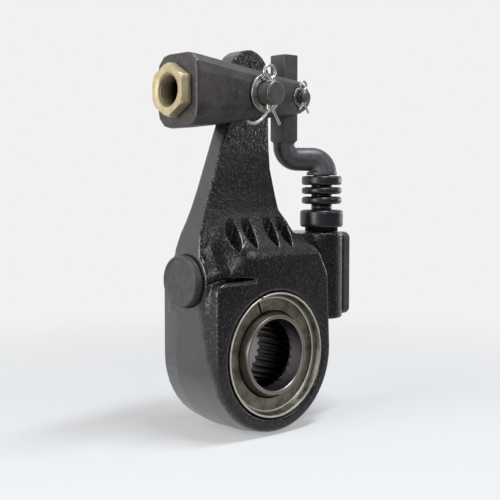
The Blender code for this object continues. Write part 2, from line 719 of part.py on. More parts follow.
def make_hub_stack(side, lie):
    """The thrust washer, seal and split ring on one side of the wheel, from the inside out."""
    inner = HUB_RADIUS + 0.4 * MM
    outer = BORE_RADIUS - 0.4 * MM
    washer_low = THRUST_FACE + SEAT
    seal_low = washer_low + THRUST_THICK + SEAT
    washer = tube(inner, outer, washer_low, washer_low + THRUST_THICK, 28)
    piece(f"thrust_washer_{side}", washer, BRONZE, lie)
    seal_high = seal_low + SEAL_THICK - SEAT
    piece(f"hub_seal_{side}", tube(inner, outer, seal_low, seal_high, 28), RUBBER, lie)
    ring = piece(f"retaining_ring_{side}", retaining_ring(), RING_STEEL, lie)
    half = RING_SPLIT / 2
    split = box((HUB_RADIUS - 3 * MM, -half, 0), (BORE_RADIUS + 3 * MM, half, 2 * HALF_WIDTH))
    bmesh.ops.rotate(split, verts=split.verts, matrix=Matrix.Rotation(RING_SPLIT_ANGLE, 3, "Z"))
    combine(ring, helper(f"ring split {side}", split, lie), "DIFFERENCE")


# Worm and clutch


def worm_thread():
    """One thread, swept as a trapezoid whose height runs out at both ends."""
    root = WORM_PITCH_RADIUS - DEDENDUM
    slope = math.tan(math.radians(20))
    half_pitch_line = LEAD / 4 - GEAR_PLAY / 2
    steps_per_turn = 16
    steps = round(WORM_TURNS * steps_per_turn)
    rings = []
    for i in range(steps + 1):
        angle = 2 * math.pi * (i / steps_per_turn - WORM_TURNS / 2)
        ends = min(i, steps - i) / 4
        tip = blend(root, WORM_OUTER_RADIUS, min(1.0, 0.08 + ends))
        ring = []
        for radius, side in ((root - 0.6 * MM, -1), (tip, -1), (tip, 1), (root - 0.6 * MM, 1)):
            wide = half_pitch_line - (radius - WORM_PITCH_RADIUS) * slope
            x = LEAD * angle / (2 * math.pi) + side * wide
            # The angle is measured from straight down, where the wheel is, and Z here lies along X.
            ring.append((radius * math.cos(angle), radius * math.sin(angle), x))
        rings.append(ring)
    return loft(rings)


def drum_end():
    return RACK_X - PINION_HALF_WIDTH - SEAT


def make_worm_shaft(parent):
    root = WORM_PITCH_RADIUS - DEDENDUM
    thread_end = WORM_TURNS * LEAD / 2 + 1.5 * MM
    left_end = TUBE_END_X + CAP_PLUG_LENGTH + SEAT
    cover_out = COVER_X + COVER_THICK
    profile = [
        (0, left_end),
        (JOURNAL_RADIUS - 0.6 * MM, left_end),
        (JOURNAL_RADIUS, left_end + 0.6 * MM),
        (JOURNAL_RADIUS, -thread_end),
        (root, -thread_end + 1.0 * MM),
        (root, thread_end - 1.0 * MM),
        (JOURNAL_RADIUS, thread_end),
        (JOURNAL_RADIUS, BUSHING_END),
        (DRUM_RADIUS, BUSHING_END + 0.6 * MM),
        (DRUM_RADIUS, drum_end()),
        (SHAFT_RADIUS, drum_end()),
        (SHAFT_RADIUS, cover_out + 0.4 * MM),
        (0, cover_out + 0.4 * MM),
    ]
    place = (0, 0, WORM_Z)
    shaft = piece("worm_shaft", turned(profile, 24), DARK_STEEL, ALONG_X, place, parent)
    combine(shaft, helper("worm thread", worm_thread(), ALONG_X, place, parent), "UNION")
    hexagonal = prism(hexagon(HEX_FLATS), cover_out - 0.2 * MM, cover_out + HEX_LENGTH)
    combine(shaft, helper("adjusting hexagon", hexagonal, ALONG_X, place, parent), "UNION")


def make_clutch_spring(parent):
    """The wrap spring, a coil that grips the worm's drum."""
    bend = DRUM_RADIUS + SPRING_WIRE_RADIUS + 0.2 * MM
    start = drum_end() - SPRING_WIRE_RADIUS - 0.3 * MM - SPRING_TURNS * SPRING_PITCH
    steps_per_turn = 14
    path = []
    for i in range(round(SPRING_TURNS * steps_per_turn) + 1):
        turns = i / steps_per_turn
        angle = 2 * math.pi * turns
        path.append((bend * math.cos(angle), bend * math.sin(angle), start + SPRING_PITCH * turns))
    coil = wire(path, SPRING_WIRE_RADIUS)
    piece("clutch_spring", coil, BRIGHT_STEEL, ALONG_X, (0, 0, WORM_Z), parent)


def make_clutch_pinion(parent):
    half_thickness = RACK_PITCH / 4 - RACK_PLAY / 2
    depth = 1.2 * RACK_MODULE
    outline = gear_outline(PINION_TEETH, PINION_PITCH_RADIUS, PINION_ADDENDUM, depth, half_thickness)
    # A tooth space faces the rack, which stands on the -Y side.
    outline = turned_outline(outline, -math.pi / 2)
    pinion = piece(
        "clutch_pinion",
        prism(outline, RACK_X - PINION_HALF_WIDTH, RACK_X + PINION_HALF_WIDTH),
        DARK_STEEL,
        ALONG_X,
        (0, 0, WORM_Z),
        parent,
    )
    hole = rod(SHAFT_RADIUS + RUN, RACK_X - 2 * PINION_HALF_WIDTH, RACK_X + 2 * PINION_HALF_WIDTH, 24)
    combine(pinion, helper("pinion hole", hole, ALONG_X, (0, 0, WORM_Z), parent), "DIFFERENCE")


def make_worm_bushings():
    inner, outer = JOURNAL_RADIUS + RUN, TUNNEL_RADIUS - SEAT
    for side, low in (("left", -BUSHING_END), ("right", BUSHING_END - BUSHING_LENGTH)):
        bm = tube(inner, outer, low, low + BUSHING_LENGTH, 20)
        piece(f"worm_bushing_{side}", bm, BRONZE, ALONG_X, (0, 0, WORM_Z))


def make_worm_cap():
    """The plug that closes the worm's tube on the left: a disc with a shallow dished face on a plug."""
    outer = TUBE_END_X - SEAT - CAP_THICK
    inner = TUBE_END_X - SEAT
    plug = TUNNEL_RADIUS - SEAT
    profile = [
        (0, outer + 0.6 * MM),
        (CAP_RADIUS - 1.9 * MM, outer + 0.6 * MM),
        (CAP_RADIUS - 1.4 * MM, outer),
        (CAP_RADIUS - 0.6 * MM, outer),
        (CAP_RADIUS, outer + 0.7 * MM),
        (CAP_RADIUS, inner),
        (plug, inner),
        (plug, TUBE_END_X + CAP_PLUG_LENGTH),
        (0, TUBE_END_X + CAP_PLUG_LENGTH),
    ]
    piece("worm_cap", turned(profile, 28), FLAT_GREY, ALONG_X, (0, 0, WORM_Z))


def make_side_cover():
    half_z = (COVER_TOP - COVER_BOTTOM) / 2
    middle_z = (COVER_TOP + COVER_BOTTOM) / 2
    rings = []
    for x, inset in ((0, 0.5), (0.5, 0), (COVER_THICK / MM - 0.8, 0), (COVER_THICK / MM, 0.8)):
        inset = inset * MM
        ring = rounded_box_ring(COVER_HALF_Y - inset, half_z - inset, 4.0 * MM - inset, 3)
        rings.append([(COVER_X + x * MM, u, middle_z + v) for u, v in ring])
    cover = piece("side_cover", loft(rings), FLAT_GREY)
    hex_corner = HEX_FLATS / math.sqrt(3)
    out = COVER_X + COVER_THICK
    bore = [
        (0, COVER_X - 5 * MM),
        (hex_corner + RUN, COVER_X - 5 * MM),
        (hex_corner + RUN, COVER_X + 0.4 * COVER_THICK),
        (hex_corner + 2.4 * MM, COVER_X + 0.4 * COVER_THICK),
        (hex_corner + 2.4 * MM, out + 5 * MM),
        (0, out + 5 * MM),
    ]
    combine(cover, helper("cover bore", turned(bore, 28), ALONG_X, (0, 0, WORM_Z)), "DIFFERENCE")
    head = SCREW_HEAD_RADIUS + SEAT
    shank = SCREW_RADIUS + SEAT
    sink = [(0, COVER_X - 3 * MM), (shank, COVER_X - 3 * MM), (shank, out - head + shank), (head, out)]
    sink += [(head, out + 3 * MM), (0, out + 3 * MM)]
    for number, (y, z) in enumerate(screw_places(), 1):
        combine(cover, helper(f"countersink {number}", turned(sink, 12), ALONG_X, (0, y, z)), "DIFFERENCE")

    seal_low = COVER_X + 0.4 * COVER_THICK + SEAT
    seal = tube(SHAFT_RADIUS + RUN, hex_corner + 2.4 * MM - SEAT, seal_low, out - 0.2 * MM, 24)
    piece("worm_seal", seal, RUBBER, ALONG_X, (0, 0, WORM_Z))


def make_cover_screws():
    """Flat-headed screws, flush with the cover's outer face."""
    out = COVER_X + COVER_THICK - 0.1 * MM
    slope = SCREW_HEAD_RADIUS - SCREW_RADIUS
    profile = [
        (0, out - SCREW_LENGTH),
        (SCREW_RADIUS - 0.4 * MM, out - SCREW_LENGTH),
        (SCREW_RADIUS, out - SCREW_LENGTH + 0.4 * MM),
        (SCREW_RADIUS, out - slope - 0.2 * MM),
        (SCREW_HEAD_RADIUS, out - 0.2 * MM),
        (SCREW_HEAD_RADIUS, out),
        (0, out),
    ]
    for number, (y, z) in enumerate(screw_places(), 1):
        screw = piece(f"cover_screw_{number}", turned(profile, 12), DARK_STEEL, ALONG_X, (0, y, z))
        socket = prism(hexagon(2.6 * MM), out - 1.3 * MM, out + 2 * MM)
        combine(screw, helper(f"screw socket {number}", socket, ALONG_X, (0, y, z)), "DIFFERENCE")


def make_grease_fitting():
    """The grease nipple in the rear of the clutch block, with a hexagon, a neck and a rounded tip."""
    seat = COVER_HALF_Y - 1.0 * MM + SEAT
    neck = 0.3 * FITTING_FLATS
    profile = [
        (0, seat - 5 * MM),
        (neck, seat - 5 * MM),
        (neck, seat + 4.5 * MM),
        (0.26 * FITTING_FLATS, seat + 6.0 * MM),
        (0.40 * FITTING_FLATS, seat + 7.2 * MM),
        (0.36 * FITTING_FLATS, seat + 8.6 * MM),
        (0.18 * FITTING_FLATS, seat + 9.6 * MM),
        (0, seat + 9.6 * MM),
    ]
    place = (RACK_X, 0, FITTING_Z)
    fitting = piece("grease_fitting", turned(profile, 16), BRIGHT_ZINC, TO_REAR, place)
    collar = prism(hexagon(FITTING_FLATS), seat, seat + 3.2 * MM)
    combine(fitting, helper("fitting hexagon", collar, TO_REAR, place), "UNION")


# Clevis, its collar and its pins


def clevis_half_sizes(x):
    """Half the clevis's size in Y and Z at a place along X, and how much its corners are cut. It is an
    octagon at the push rod's end and slims, a little barrelled, to the fork's rounded tip."""
    if x < PIN_X:
        share = (x - CLEVIS_END_X) / (PIN_X - CLEVIS_END_X)
        half_y = blend(CLEVIS_END_HALF_Y, CLEVIS_PIN_HALF_Y, share**1.5)
        half_z = blend(CLEVIS_END_HALF_Z, CLEVIS_PIN_HALF_Z, share**1.15)
        along, deep = CLEVIS_END_ROUND
        left = max(0.0, 1 - (x - CLEVIS_END_X) / along)
        inset = deep * (1 - math.sqrt(1 - left**2))
        return half_y - inset, half_z - inset, blend(0.36, 0.42, share)
    share = (x - PIN_X) / (LINK_PIN_X - PIN_X)
    half_y = blend(CLEVIS_PIN_HALF_Y, CLEVIS_TIP_HALF_Y, share)
    half_z = blend(CLEVIS_PIN_HALF_Z, CLEVIS_TIP_RADIUS, min(share, 1.0))
    if x > LINK_PIN_X:
        half_z = math.sqrt(max(CLEVIS_TIP_RADIUS**2 - (x - LINK_PIN_X) ** 2, (1.5 * MM) ** 2))
    return half_y, half_z, blend(0.42, 0.30, min(share, 1.0))


def cut_corner_ring(x, half_y, half_z, cut):
    """A rectangle across X with cut corners, every corner of the result eased."""
    cut_size = cut * min(half_y, half_z)
    corners = []
    for sign_y, sign_z in ((1, 1), (-1, 1), (-1, -1), (1, -1)):
        side = (sign_y * half_y, sign_z * (half_z - cut_size))
        level = (sign_y * (half_y - cut_size), sign_z * half_z)
        corners += [side, level] if sign_y == sign_z else [level, side]
    ring = []
    ease = 0.16
    for i, corner in enumerate(corners):
        before, after = corners[i - 1], corners[(i + 1) % len(corners)]
        for neighbour in (before, after):
            y = blend(corner[0], neighbour[0], ease)
            z = blend(corner[1], neighbour[1], ease)
            ring.append((x, y, ARM_LENGTH + z))
    return ring


def make_clevis(parent):
    tip = LINK_PIN_X + CLEVIS_TIP_RADIUS
    rings = []
    span = tip - CLEVIS_END_X
    shares = [0.0, 0.005, 0.025, 0.08, 0.20, 0.30, 0.42, 0.535, 0.65, 0.77, 0.885, 0.925, 0.96, 0.985, 1.0]
    for share in shares:
        x = CLEVIS_END_X + share * span
        rings.append(cut_corner_ring(x, *clevis_half_sizes(x)))
    clevis = piece("clevis", loft(rings), FORGED, parent=parent)

    wide = CLEVIS_END_HALF_Y + 5 * MM
    high = CLEVIS_END_HALF_Z + 5 * MM
    slot_low = (FORK_ROOT_X, -FORK_HALF_GAP, ARM_LENGTH - high)
    slot_high = (tip + 5 * MM, FORK_HALF_GAP, ARM_LENGTH + high)
    shank_hole = rod(COLLAR_SHANK_RADIUS + SEAT, CLEVIS_END_X - 5 * MM, FORK_ROOT_X + 2 * MM, 32)
    pin_hole = rod(PIN_RADIUS + RUN, -wide, wide, 24)
    link_hole = rod(LINK_PIN_RADIUS + RUN, -wide, wide, 20)
    cutters = []
    for side, lie in (("front", TO_FRONT), ("rear", TO_REAR)):
        for name, x, radius, face in (
            ("pin face", PIN_X, PIN_WASHER_RADIUS + 0.9 * MM, PIN_FACE),
            ("link face", LINK_PIN_X, LINK_WASHER_RADIUS + 0.7 * MM, LINK_FACE),
        ):
            cutters.append((f"{name} {side}", rod(radius, face, wide, 24), lie, (x, 0, ARM_LENGTH)))
    cutters += [
        ("fork slot", box(slot_low, slot_high), ALONG_Z, (0, 0, 0)),
        ("collar hole", shank_hole, ALONG_X, (0, 0, ARM_LENGTH)),
        ("pin holes", pin_hole, TO_FRONT, (PIN_X, 0, ARM_LENGTH)),
        ("link pin holes", link_hole, TO_FRONT, (LINK_PIN_X, 0, ARM_LENGTH)),
    ]
    for name, bm, lie, place in cutters:
        combine(clevis, helper(name, bm, lie, place, parent), "DIFFERENCE")


def make_clevis_collar(parent):
    """A hexagonal collar with a threaded hole for the push rod, its shank pressed into the clevis."""
    seat = CLEVIS_END_X - SEAT
    outer = seat - COLLAR_PROUD
    shank_end = FORK_ROOT_X - 1.5 * MM
    corner = COLLAR_FLATS / math.sqrt(3)
    place = (0, 0, ARM_LENGTH)
    # Corners point up and down, so that two flats face the front and the rear.
    blank = prism(hexagon(COLLAR_FLATS), outer, seat)
    collar = piece("clevis_collar", blank, YELLOW_ZINC, ALONG_X, place, parent)
    eased = [
        (0, outer - 1 * MM),
        (corner - 2.4 * MM, outer - 1 * MM),
        (corner + 1.2 * MM, outer + 1.2 * MM),
        (corner + 1.2 * MM, seat + 1 * MM),
        (0, seat + 1 * MM),
    ]
    combine(collar, helper("eased corners", turned(eased, 36), ALONG_X, place, parent), "INTERSECT")
    shank = rod(COLLAR_SHANK_RADIUS, seat - 1 * MM, shank_end, 32)
    combine(collar, helper("collar shank", shank, ALONG_X, place, parent), "UNION")
    thread = [
        (0, outer - 2 * MM),
        (COLLAR_BORE_RADIUS + 3 * MM, outer - 2 * MM),
        (COLLAR_BORE_RADIUS, outer + 1 * MM),
        (COLLAR_BORE_RADIUS, shank_end + 1 * MM),
        (0, shank_end + 1 * MM),
    ]
    combine(collar, helper("collar thread", turned(thread, 28), ALONG_X, place, parent), "DIFFERENCE")


def pin(radius, head_radius, head_thick, low, high, cotter_place, cotter_hole):
    """A headed pin, head at its low end, with a cross hole for its cotter pin near the high end."""
    profile = [
        (0, low - head_thick),
        (head_radius - 0.6 * MM, low - head_thick),
        (head_radius, low - head_thick + 0.6 * MM),
        (head_radius, low),
        (radius, low),
        (radius, high - 0.8 * MM),
        (radius - 0.8 * MM, high),
        (0, high),
    ]
    shank = turned(profile, 28)
    hole = rod(cotter_hole, -2 * radius, 2 * radius, 12)
    # The hole runs along the pin's own Y, which is the arm's direction once the pin faces the front.
    turn = Matrix.Translation((0, 0, cotter_place)) @ Matrix.Rotation(math.pi / 2, 4, "X")
    bmesh.ops.transform(hole, matrix=turn, verts=hole.verts)
    return shank, hole


def cotter(name, wire_radius, eye_radius, pin_radius, left_leg, right_leg, place, parent):
    """A split pin: an eye above the pin, two legs side by side through it, and their ends bent apart.
    The legs are given as (x, z) points below the pin, from its axis."""
    gap = wire_radius + 0.12 * MM
    top = pin_radius + 0.3 * MM
    eye_z = top + eye_radius + wire_radius + 0.2 * MM
    route = [(x, -z) for x, z in reversed(left_leg)]
    route += [(-gap, -pin_radius), (-gap, top)]
    route += arc((0, eye_z), eye_radius, 250, -70, 12)
    route += [(gap, top), (gap, -pin_radius)]
    route += [(x, -z) for x, z in right_leg]
    bm = wire([(x, 0, z) for x, z in route], wire_radius)
    piece(name, bm, BRIGHT_ZINC, place=place, parent=parent)


def curved_leg(start, end, bow, steps):
    """Points from one place to another along a curve that bows out by this much."""
    points = []
    for i in range(steps + 1):
        share = i / steps
        x, z = blend(start[0], end[0], share), blend(start[1], end[1], share)
        points.append((x, z + bow * math.sin(math.pi * share)))
    return points


def make_clevis_pins(parent):
    """Both pins, each with its head at the rear and its washer and cotter pin at the front."""
    for name, x, radius, head, face, washer, end, wire in (
        ("clevis", PIN_X, PIN_RADIUS, (PIN_HEAD_RADIUS, PIN_HEAD_THICK), PIN_FACE,
         (PIN_WASHER_RADIUS, PIN_WASHER_THICK), PIN_END, PIN_COTTER_RADIUS),
        ("link", LINK_PIN_X, LINK_PIN_RADIUS, (LINK_PIN_HEAD_RADIUS, LINK_PIN_HEAD_THICK), LINK_FACE,
         (LINK_WASHER_RADIUS, LINK_WASHER_THICK), LINK_PIN_END, LINK_COTTER_RADIUS),
    ):
        place = (x, 0, ARM_LENGTH)
        washer_low = face + SEAT
        washer_high = washer_low + washer[1]
        hole_radius = 2 * wire + 0.5 * MM
        cotter_place = washer_high + hole_radius
        shank, hole = pin(radius, *head, -face - SEAT, washer_high + end, cotter_place, hole_radius)
        made = piece(f"{name}_pin", shank, DARK_STEEL, TO_FRONT, place, parent)
        combine(made, helper(f"{name} cotter hole", hole, TO_FRONT, place, parent), "DIFFERENCE")
        ring = tube(radius + RUN, washer[0], washer_low, washer_high, 28)
        piece(f"{name}_washer", ring, BRIGHT_ZINC, TO_FRONT, place, parent)

        start = radius + 0.6 * MM
        if name == "clevis":
            left = curved_leg((-wire - 0.4 * MM, start), (-16.5 * MM, 15.2 * MM), 3.2 * MM, 8)
            right = curved_leg((wire + 0.4 * MM, start), (7.2 * MM, 16.2 * MM), 0.0, 3)
        else:
            left = curved_leg((-wire - 0.3 * MM, start), (-2.8 * MM, 7.0 * MM), 0.3 * MM, 4)
            right = curved_leg((wire + 0.3 * MM, start), (4.2 * MM, 8.6 * MM), 0.0, 3)
        spot = (x, -cotter_place, ARM_LENGTH)
        cotter(f"{name}_cotter", wire, 3.6 * wire, radius, left, right, spot, parent)


# Link, rack and boot


def link_path():
    """Centre, direction and half sizes of the link, from its square top to the foot that rests on the
    boot. The bends lie in the upright plane from the link pin to the rack."""
    start = Vector((LINK_PIN_X, 0, 0))
    across = Vector((RACK_X - LINK_PIN_X, RACK_Y, 0))
    reach = across.length
    across.normalize()
    top = ARM_LENGTH + LINK_RISE
    foot = BOOT_TOP + SEAT

    def at(along, z):
        return start + across * along + Vector((0, 0, z))

    down = Vector((0, 0, -1))
    stops = [
        (at(0, top), down, LINK_HALF_X - 0.5 * MM, LINK_HALF_Y - 0.5 * MM, 0.6 * MM),
        (at(0, top - 0.5 * MM), down, LINK_HALF_X, LINK_HALF_Y, 0.9 * MM),
        (at(0, LINK_SQUARE_END), down, LINK_HALF_X, LINK_HALF_Y, 0.9 * MM),
    ]
    round_z = LINK_RUN_Z + LINK_BEND
    for angle in range(0, 91, 15):
        turn = math.radians(angle)
        along = LINK_BEND * (1 - math.cos(turn))
        z = round_z - LINK_BEND * math.sin(turn)
        way = down * math.cos(turn) + across * math.sin(turn)
        stops.append((at(along, z), way, LINK_ROUND_RADIUS, LINK_ROUND_RADIUS, LINK_ROUND_RADIUS))
    for angle in range(0, 91, 15):
        turn = math.radians(angle)
        along = reach - LINK_FOOT_BEND * (1 - math.sin(turn))
        z = LINK_RUN_Z - LINK_FOOT_BEND * (1 - math.cos(turn))
        way = across * math.cos(turn) + down * math.sin(turn)
        radius = blend(LINK_ROUND_RADIUS + 0.5 * MM, LINK_ELBOW_RADIUS, angle / 90)
        stops.append((at(along, z), way, radius, radius, radius))
    stem_end = RACK_TOP + SEAT
    for z, radius in (
        (foot, LINK_FOOT_RADIUS),
        (foot - 0.05 * MM, STEM_RADIUS),
        (stem_end, STEM_RADIUS),
        (stem_end - 0.05 * MM, SPIGOT_RADIUS),
        (stem_end - SPIGOT_LENGTH, SPIGOT_RADIUS),
    ):
        stops.append((at(reach, z), down, radius, radius, radius))
    return stops


def make_link_rod(parent):
    across = Vector((RACK_X - LINK_PIN_X, RACK_Y, 0)).normalized()
    rings = []
    for centre, way, half_x, half_y, corner in link_path():
        square = corner < LINK_ROUND_RADIUS * 0.5
        side = Vector((0, 1, 0)) if square else across.cross(Vector((0, 0, 1)))
        side.normalize()
        front = side.cross(way).normalized()
        ring = rounded_box_ring(half_x, half_y, min(corner, half_x, half_y) - 1e-6, 3)
        rings.append([centre - front * u + side * v for u, v in ring])
    link = piece("link_rod", loft(rings), LINK_STEEL, parent=parent)

    hole_radius = LINK_PIN_RADIUS + RUN
    slot = arc((LINK_SLOT, 0), hole_radius, -90, 90, 10) + arc((-LINK_SLOT, 0), hole_radius, 90, 270, 10)
    slot = prism(slot, -2 * LINK_HALF_Y, 2 * LINK_HALF_Y)
    combine(link, helper("link slot", slot, TO_FRONT, (LINK_PIN_X, 0, ARM_LENGTH), parent), "DIFFERENCE")
    pin_z = RACK_TOP - 0.55 * SPIGOT_LENGTH
    cross = rod(RACK_PIN_RADIUS + 0.15 * MM, -2 * RACK_RADIUS, 2 * RACK_RADIUS, 12)
    combine(link, helper("spigot hole", cross, ALONG_X, (RACK_X, RACK_Y, pin_z), parent), "DIFFERENCE")


def make_rack(parent):
    """A round bar with a toothed flat towards the pinion, and a socket for the link's spigot."""
    flat = RACK_Y + RACK_RADIUS
    crest = -PINION_PITCH_RADIUS + 0.88 * RACK_MODULE
    root = -PINION_PITCH_RADIUS - 1.15 * RACK_MODULE
    half = RACK_PITCH / 4 - RACK_PLAY / 2
    slope = math.tan(math.radians(20))
    half_crest = half - (crest + PINION_PITCH_RADIUS) * slope
    half_root = half + (-PINION_PITCH_RADIUS - root) * slope
    # The teeth end where the full bar still clears the pinion with the rack all the way down.
    pinion_radius = PINION_PITCH_RADIUS + PINION_ADDENDUM
    teeth_top = WORM_Z + LINK_TRAVEL + math.sqrt(pinion_radius**2 - min(flat, 0) ** 2) + 0.8 * MM
    outline = [(RACK_Y - RACK_RADIUS - 1 * MM, RACK_BOTTOM)]
    # A tooth stands level with the pinion's axis, and the others are a pitch apart from it.
    first = math.ceil((RACK_BOTTOM + half_root - WORM_Z) / RACK_PITCH)
    last = math.floor((teeth_top - half_root - WORM_Z) / RACK_PITCH)
    outline.append((root, RACK_BOTTOM))
    for number in range(first, last + 1):
        z = WORM_Z + number * RACK_PITCH
        outline += [(root, z - half_root), (crest, z - half_crest)]
        outline += [(crest, z + half_crest), (root, z + half_root)]
    outline += [(root, teeth_top), (flat + 1 * MM, teeth_top), (flat + 1 * MM, RACK_TOP)]
    outline += [(RACK_Y - RACK_RADIUS - 1 * MM, RACK_TOP)]
    bar = rod(RACK_RADIUS, RACK_BOTTOM - 1 * MM, RACK_TOP + 1 * MM, 28)
    rack = piece("rack", bar, DARK_STEEL, ALONG_Z, (RACK_X, RACK_Y, 0), parent)
    wide = 2 * RACK_RADIUS
    teeth = loft([[(RACK_X - wide, y, z) for y, z in outline], [(RACK_X + wide, y, z) for y, z in outline]])
    combine(rack, helper("rack teeth", teeth, parent=parent), "INTERSECT")
    socket = rod(SPIGOT_RADIUS + SEAT, RACK_TOP - SPIGOT_LENGTH - SEAT, RACK_TOP + 5 * MM, 20)
    combine(rack, helper("rack socket", socket, ALONG_Z, (RACK_X, RACK_Y, 0), parent), "DIFFERENCE")
    pin_z = RACK_TOP - 0.55 * SPIGOT_LENGTH
    cross = rod(RACK_PIN_RADIUS + 0.15 * MM, -2 * RACK_RADIUS, 2 * RACK_RADIUS, 12)
    combine(rack, helper("rack pin hole", cross, ALONG_X, (RACK_X, RACK_Y, pin_z), parent), "DIFFERENCE")
    reach = RACK_RADIUS - 0.6 * MM
    cross_pin = rod(RACK_PIN_RADIUS, -reach, reach, 12)
    piece("rack_pin", cross_pin, BRIGHT_STEEL, ALONG_X, (RACK_X, RACK_Y, pin_z), parent)


def make_boot():
    """The rubber boot: a collar under the link's foot, two thin folds and a deep cuff on the boss."""
    low = SHOULDER_TOP + SEAT
    length = BOOT_TOP - low
    cuff_low, cuff_high = low + 0.082 * length, low + 0.388 * length
    bore = STEM_RADIUS + 0.4 * MM
    wide_bore = RACK_RADIUS + 1.0 * MM
    rings = [(low + 0.495 * length, low + 0.628 * length), (low + 0.672 * length, low + 0.798 * length)]
    rings.append((low + 0.836 * length, BOOT_TOP))
    outside = [(BOOT_FOOT_RADIUS, low), (BOOT_FOOT_RADIUS, cuff_low - 0.6 * MM)]
    outside += [(BOOT_CUFF_RADIUS - 1.2 * MM, cuff_low), (BOOT_CUFF_RADIUS, cuff_low + 1.4 * MM)]
    outside += [(BOOT_CUFF_RADIUS, cuff_high - 1.4 * MM), (BOOT_CUFF_RADIUS - 1.2 * MM, cuff_high)]
    outside += [(BOOT_NECK_RADIUS, cuff_high + 0.4 * MM)]
    for start, end in rings:
        ease = min(1.2 * MM, 0.3 * (end - start))
        outside += [(BOOT_NECK_RADIUS, start - 0.3 * MM), (BOOT_RING_RADIUS - ease, start)]
        outside += [(BOOT_RING_RADIUS, start + ease), (BOOT_RING_RADIUS, end - ease)]
        outside += [(BOOT_RING_RADIUS - ease, end)]
        if end < BOOT_TOP:
            outside += [(BOOT_NECK_RADIUS, end + 0.3 * MM)]
    inside = [(bore, BOOT_TOP), (bore, low + 0.325 * length)]
    inside += [(wide_bore, low + 0.288 * length), (wide_bore, low)]
    piece("boot", turned(outside + inside, 22), RUBBER, ALONG_Z, (RACK_X, RACK_Y, 0))


clear_scene()
wheel_axis = axis_empty("wheel axis", (0, 0, 0))
worm_axis = axis_empty("worm axis", (0, 0, WORM_Z))
clevis_axis = axis_empty("clevis axis", (PIN_X, 0, ARM_LENGTH))
link_slide = axis_empty("link slide", (RACK_X, RACK_Y, BOOT_TOP))

make_housing()
make_arm_bushing()
make_hub_stack("front", TO_FRONT)
make_hub_stack("rear", TO_REAR)
make_worm_bushings()
make_worm_cap()
make_side_cover()
make_cover_screws()
make_grease_fitting()
make_boot()
make_worm_wheel(wheel_axis)
make_worm_shaft(worm_axis)
make_clutch_spring(worm_axis)
make_clutch_pinion(worm_axis)
make_link_rod(link_slide)
make_rack(link_slide)
make_clevis(clevis_axis)
make_clevis_collar(clevis_axis)
make_clevis_pins(clevis_axis)
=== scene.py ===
"""Looks of an automatic slack adjuster: the finish and the fine surface of every piece, a floor and a lamp set."""

import math

import bmesh
import bpy
from mathutils import Matrix, Vector


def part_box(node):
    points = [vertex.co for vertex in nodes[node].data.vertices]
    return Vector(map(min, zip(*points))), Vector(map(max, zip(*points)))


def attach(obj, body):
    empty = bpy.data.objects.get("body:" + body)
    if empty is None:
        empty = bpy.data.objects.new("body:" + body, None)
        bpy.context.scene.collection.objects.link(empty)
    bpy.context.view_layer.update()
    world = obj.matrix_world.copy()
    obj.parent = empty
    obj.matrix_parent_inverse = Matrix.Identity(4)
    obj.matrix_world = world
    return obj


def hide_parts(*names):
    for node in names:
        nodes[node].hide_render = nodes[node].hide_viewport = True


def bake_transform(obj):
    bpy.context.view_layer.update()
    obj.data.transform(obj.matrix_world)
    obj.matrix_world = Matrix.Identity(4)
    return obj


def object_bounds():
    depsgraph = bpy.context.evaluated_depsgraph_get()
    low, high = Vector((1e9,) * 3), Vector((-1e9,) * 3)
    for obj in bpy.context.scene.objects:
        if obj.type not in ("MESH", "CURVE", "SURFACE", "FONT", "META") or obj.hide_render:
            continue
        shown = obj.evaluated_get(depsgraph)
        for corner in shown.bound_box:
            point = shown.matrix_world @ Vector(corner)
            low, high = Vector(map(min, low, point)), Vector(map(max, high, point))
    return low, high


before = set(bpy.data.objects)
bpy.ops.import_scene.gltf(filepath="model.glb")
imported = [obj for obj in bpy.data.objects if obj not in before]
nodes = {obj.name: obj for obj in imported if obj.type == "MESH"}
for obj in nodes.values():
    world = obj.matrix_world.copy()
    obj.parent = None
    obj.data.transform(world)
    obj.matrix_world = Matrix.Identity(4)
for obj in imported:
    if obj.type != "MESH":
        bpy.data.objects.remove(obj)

cad_low, cad_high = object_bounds()


# Camera
# It looks at the adjuster from its front left and a little above, as the photograph does. The photograph is
# squeezed in width by a tenth, which a camera can't repeat, so the view is fitted by its heights.

MM = 0.001
YAW = math.radians(42.22)
PITCH = math.radians(4.15)
EYE_DISTANCE = 538.4 * MM
AIM = Vector((0.93 * MM, 0.0, 55.42 * MM))
FOCAL_PIXELS = 975.0
FRAME_PIXELS = 500.0

camera = bpy.data.cameras.new("camera")
camera.sensor_width = 36.0
camera.lens = FOCAL_PIXELS * camera.sensor_width / FRAME_PIXELS
camera.clip_start = 0.01
back = Vector((-math.sin(YAW) * math.cos(PITCH), -math.cos(YAW) * math.cos(PITCH), math.sin(PITCH)))
right = Vector((math.cos(YAW), -math.sin(YAW), 0.0))
stand = Matrix((right, back.cross(right), back)).transposed().to_4x4()
stand.translation = AIM + back * EYE_DISTANCE
viewpoint = bpy.data.objects.new("camera", camera)
viewpoint.matrix_world = stand
bpy.context.collection.objects.link(viewpoint)
bpy.context.scene.camera = viewpoint


# Housing
# One sand casting of iron: the round body, the arm, the worm's tube, the rack's boss and the clutch block.
# The slope from the arm to the body's face is blended in the mould and has four slots between ribs. The casting
# is painted glossy black all over, and the sand's grain shows through.

CASTING_GRAIN = 0.45 * MM
CASTING_SHARE = 0.3
# Height, and the slope's half thickness where it has faded into the tube and where it is full.
SLOPE = (
    (41.5, 16.7, 23.3),
    (46.0, 16.2, 23.3),
    (52.0, 13.0, 23.15),
    (57.5, 10.5, 21.7),
    (66.0, 8.0, 13.4),
    (78.0, 5.0, 5.6),
)
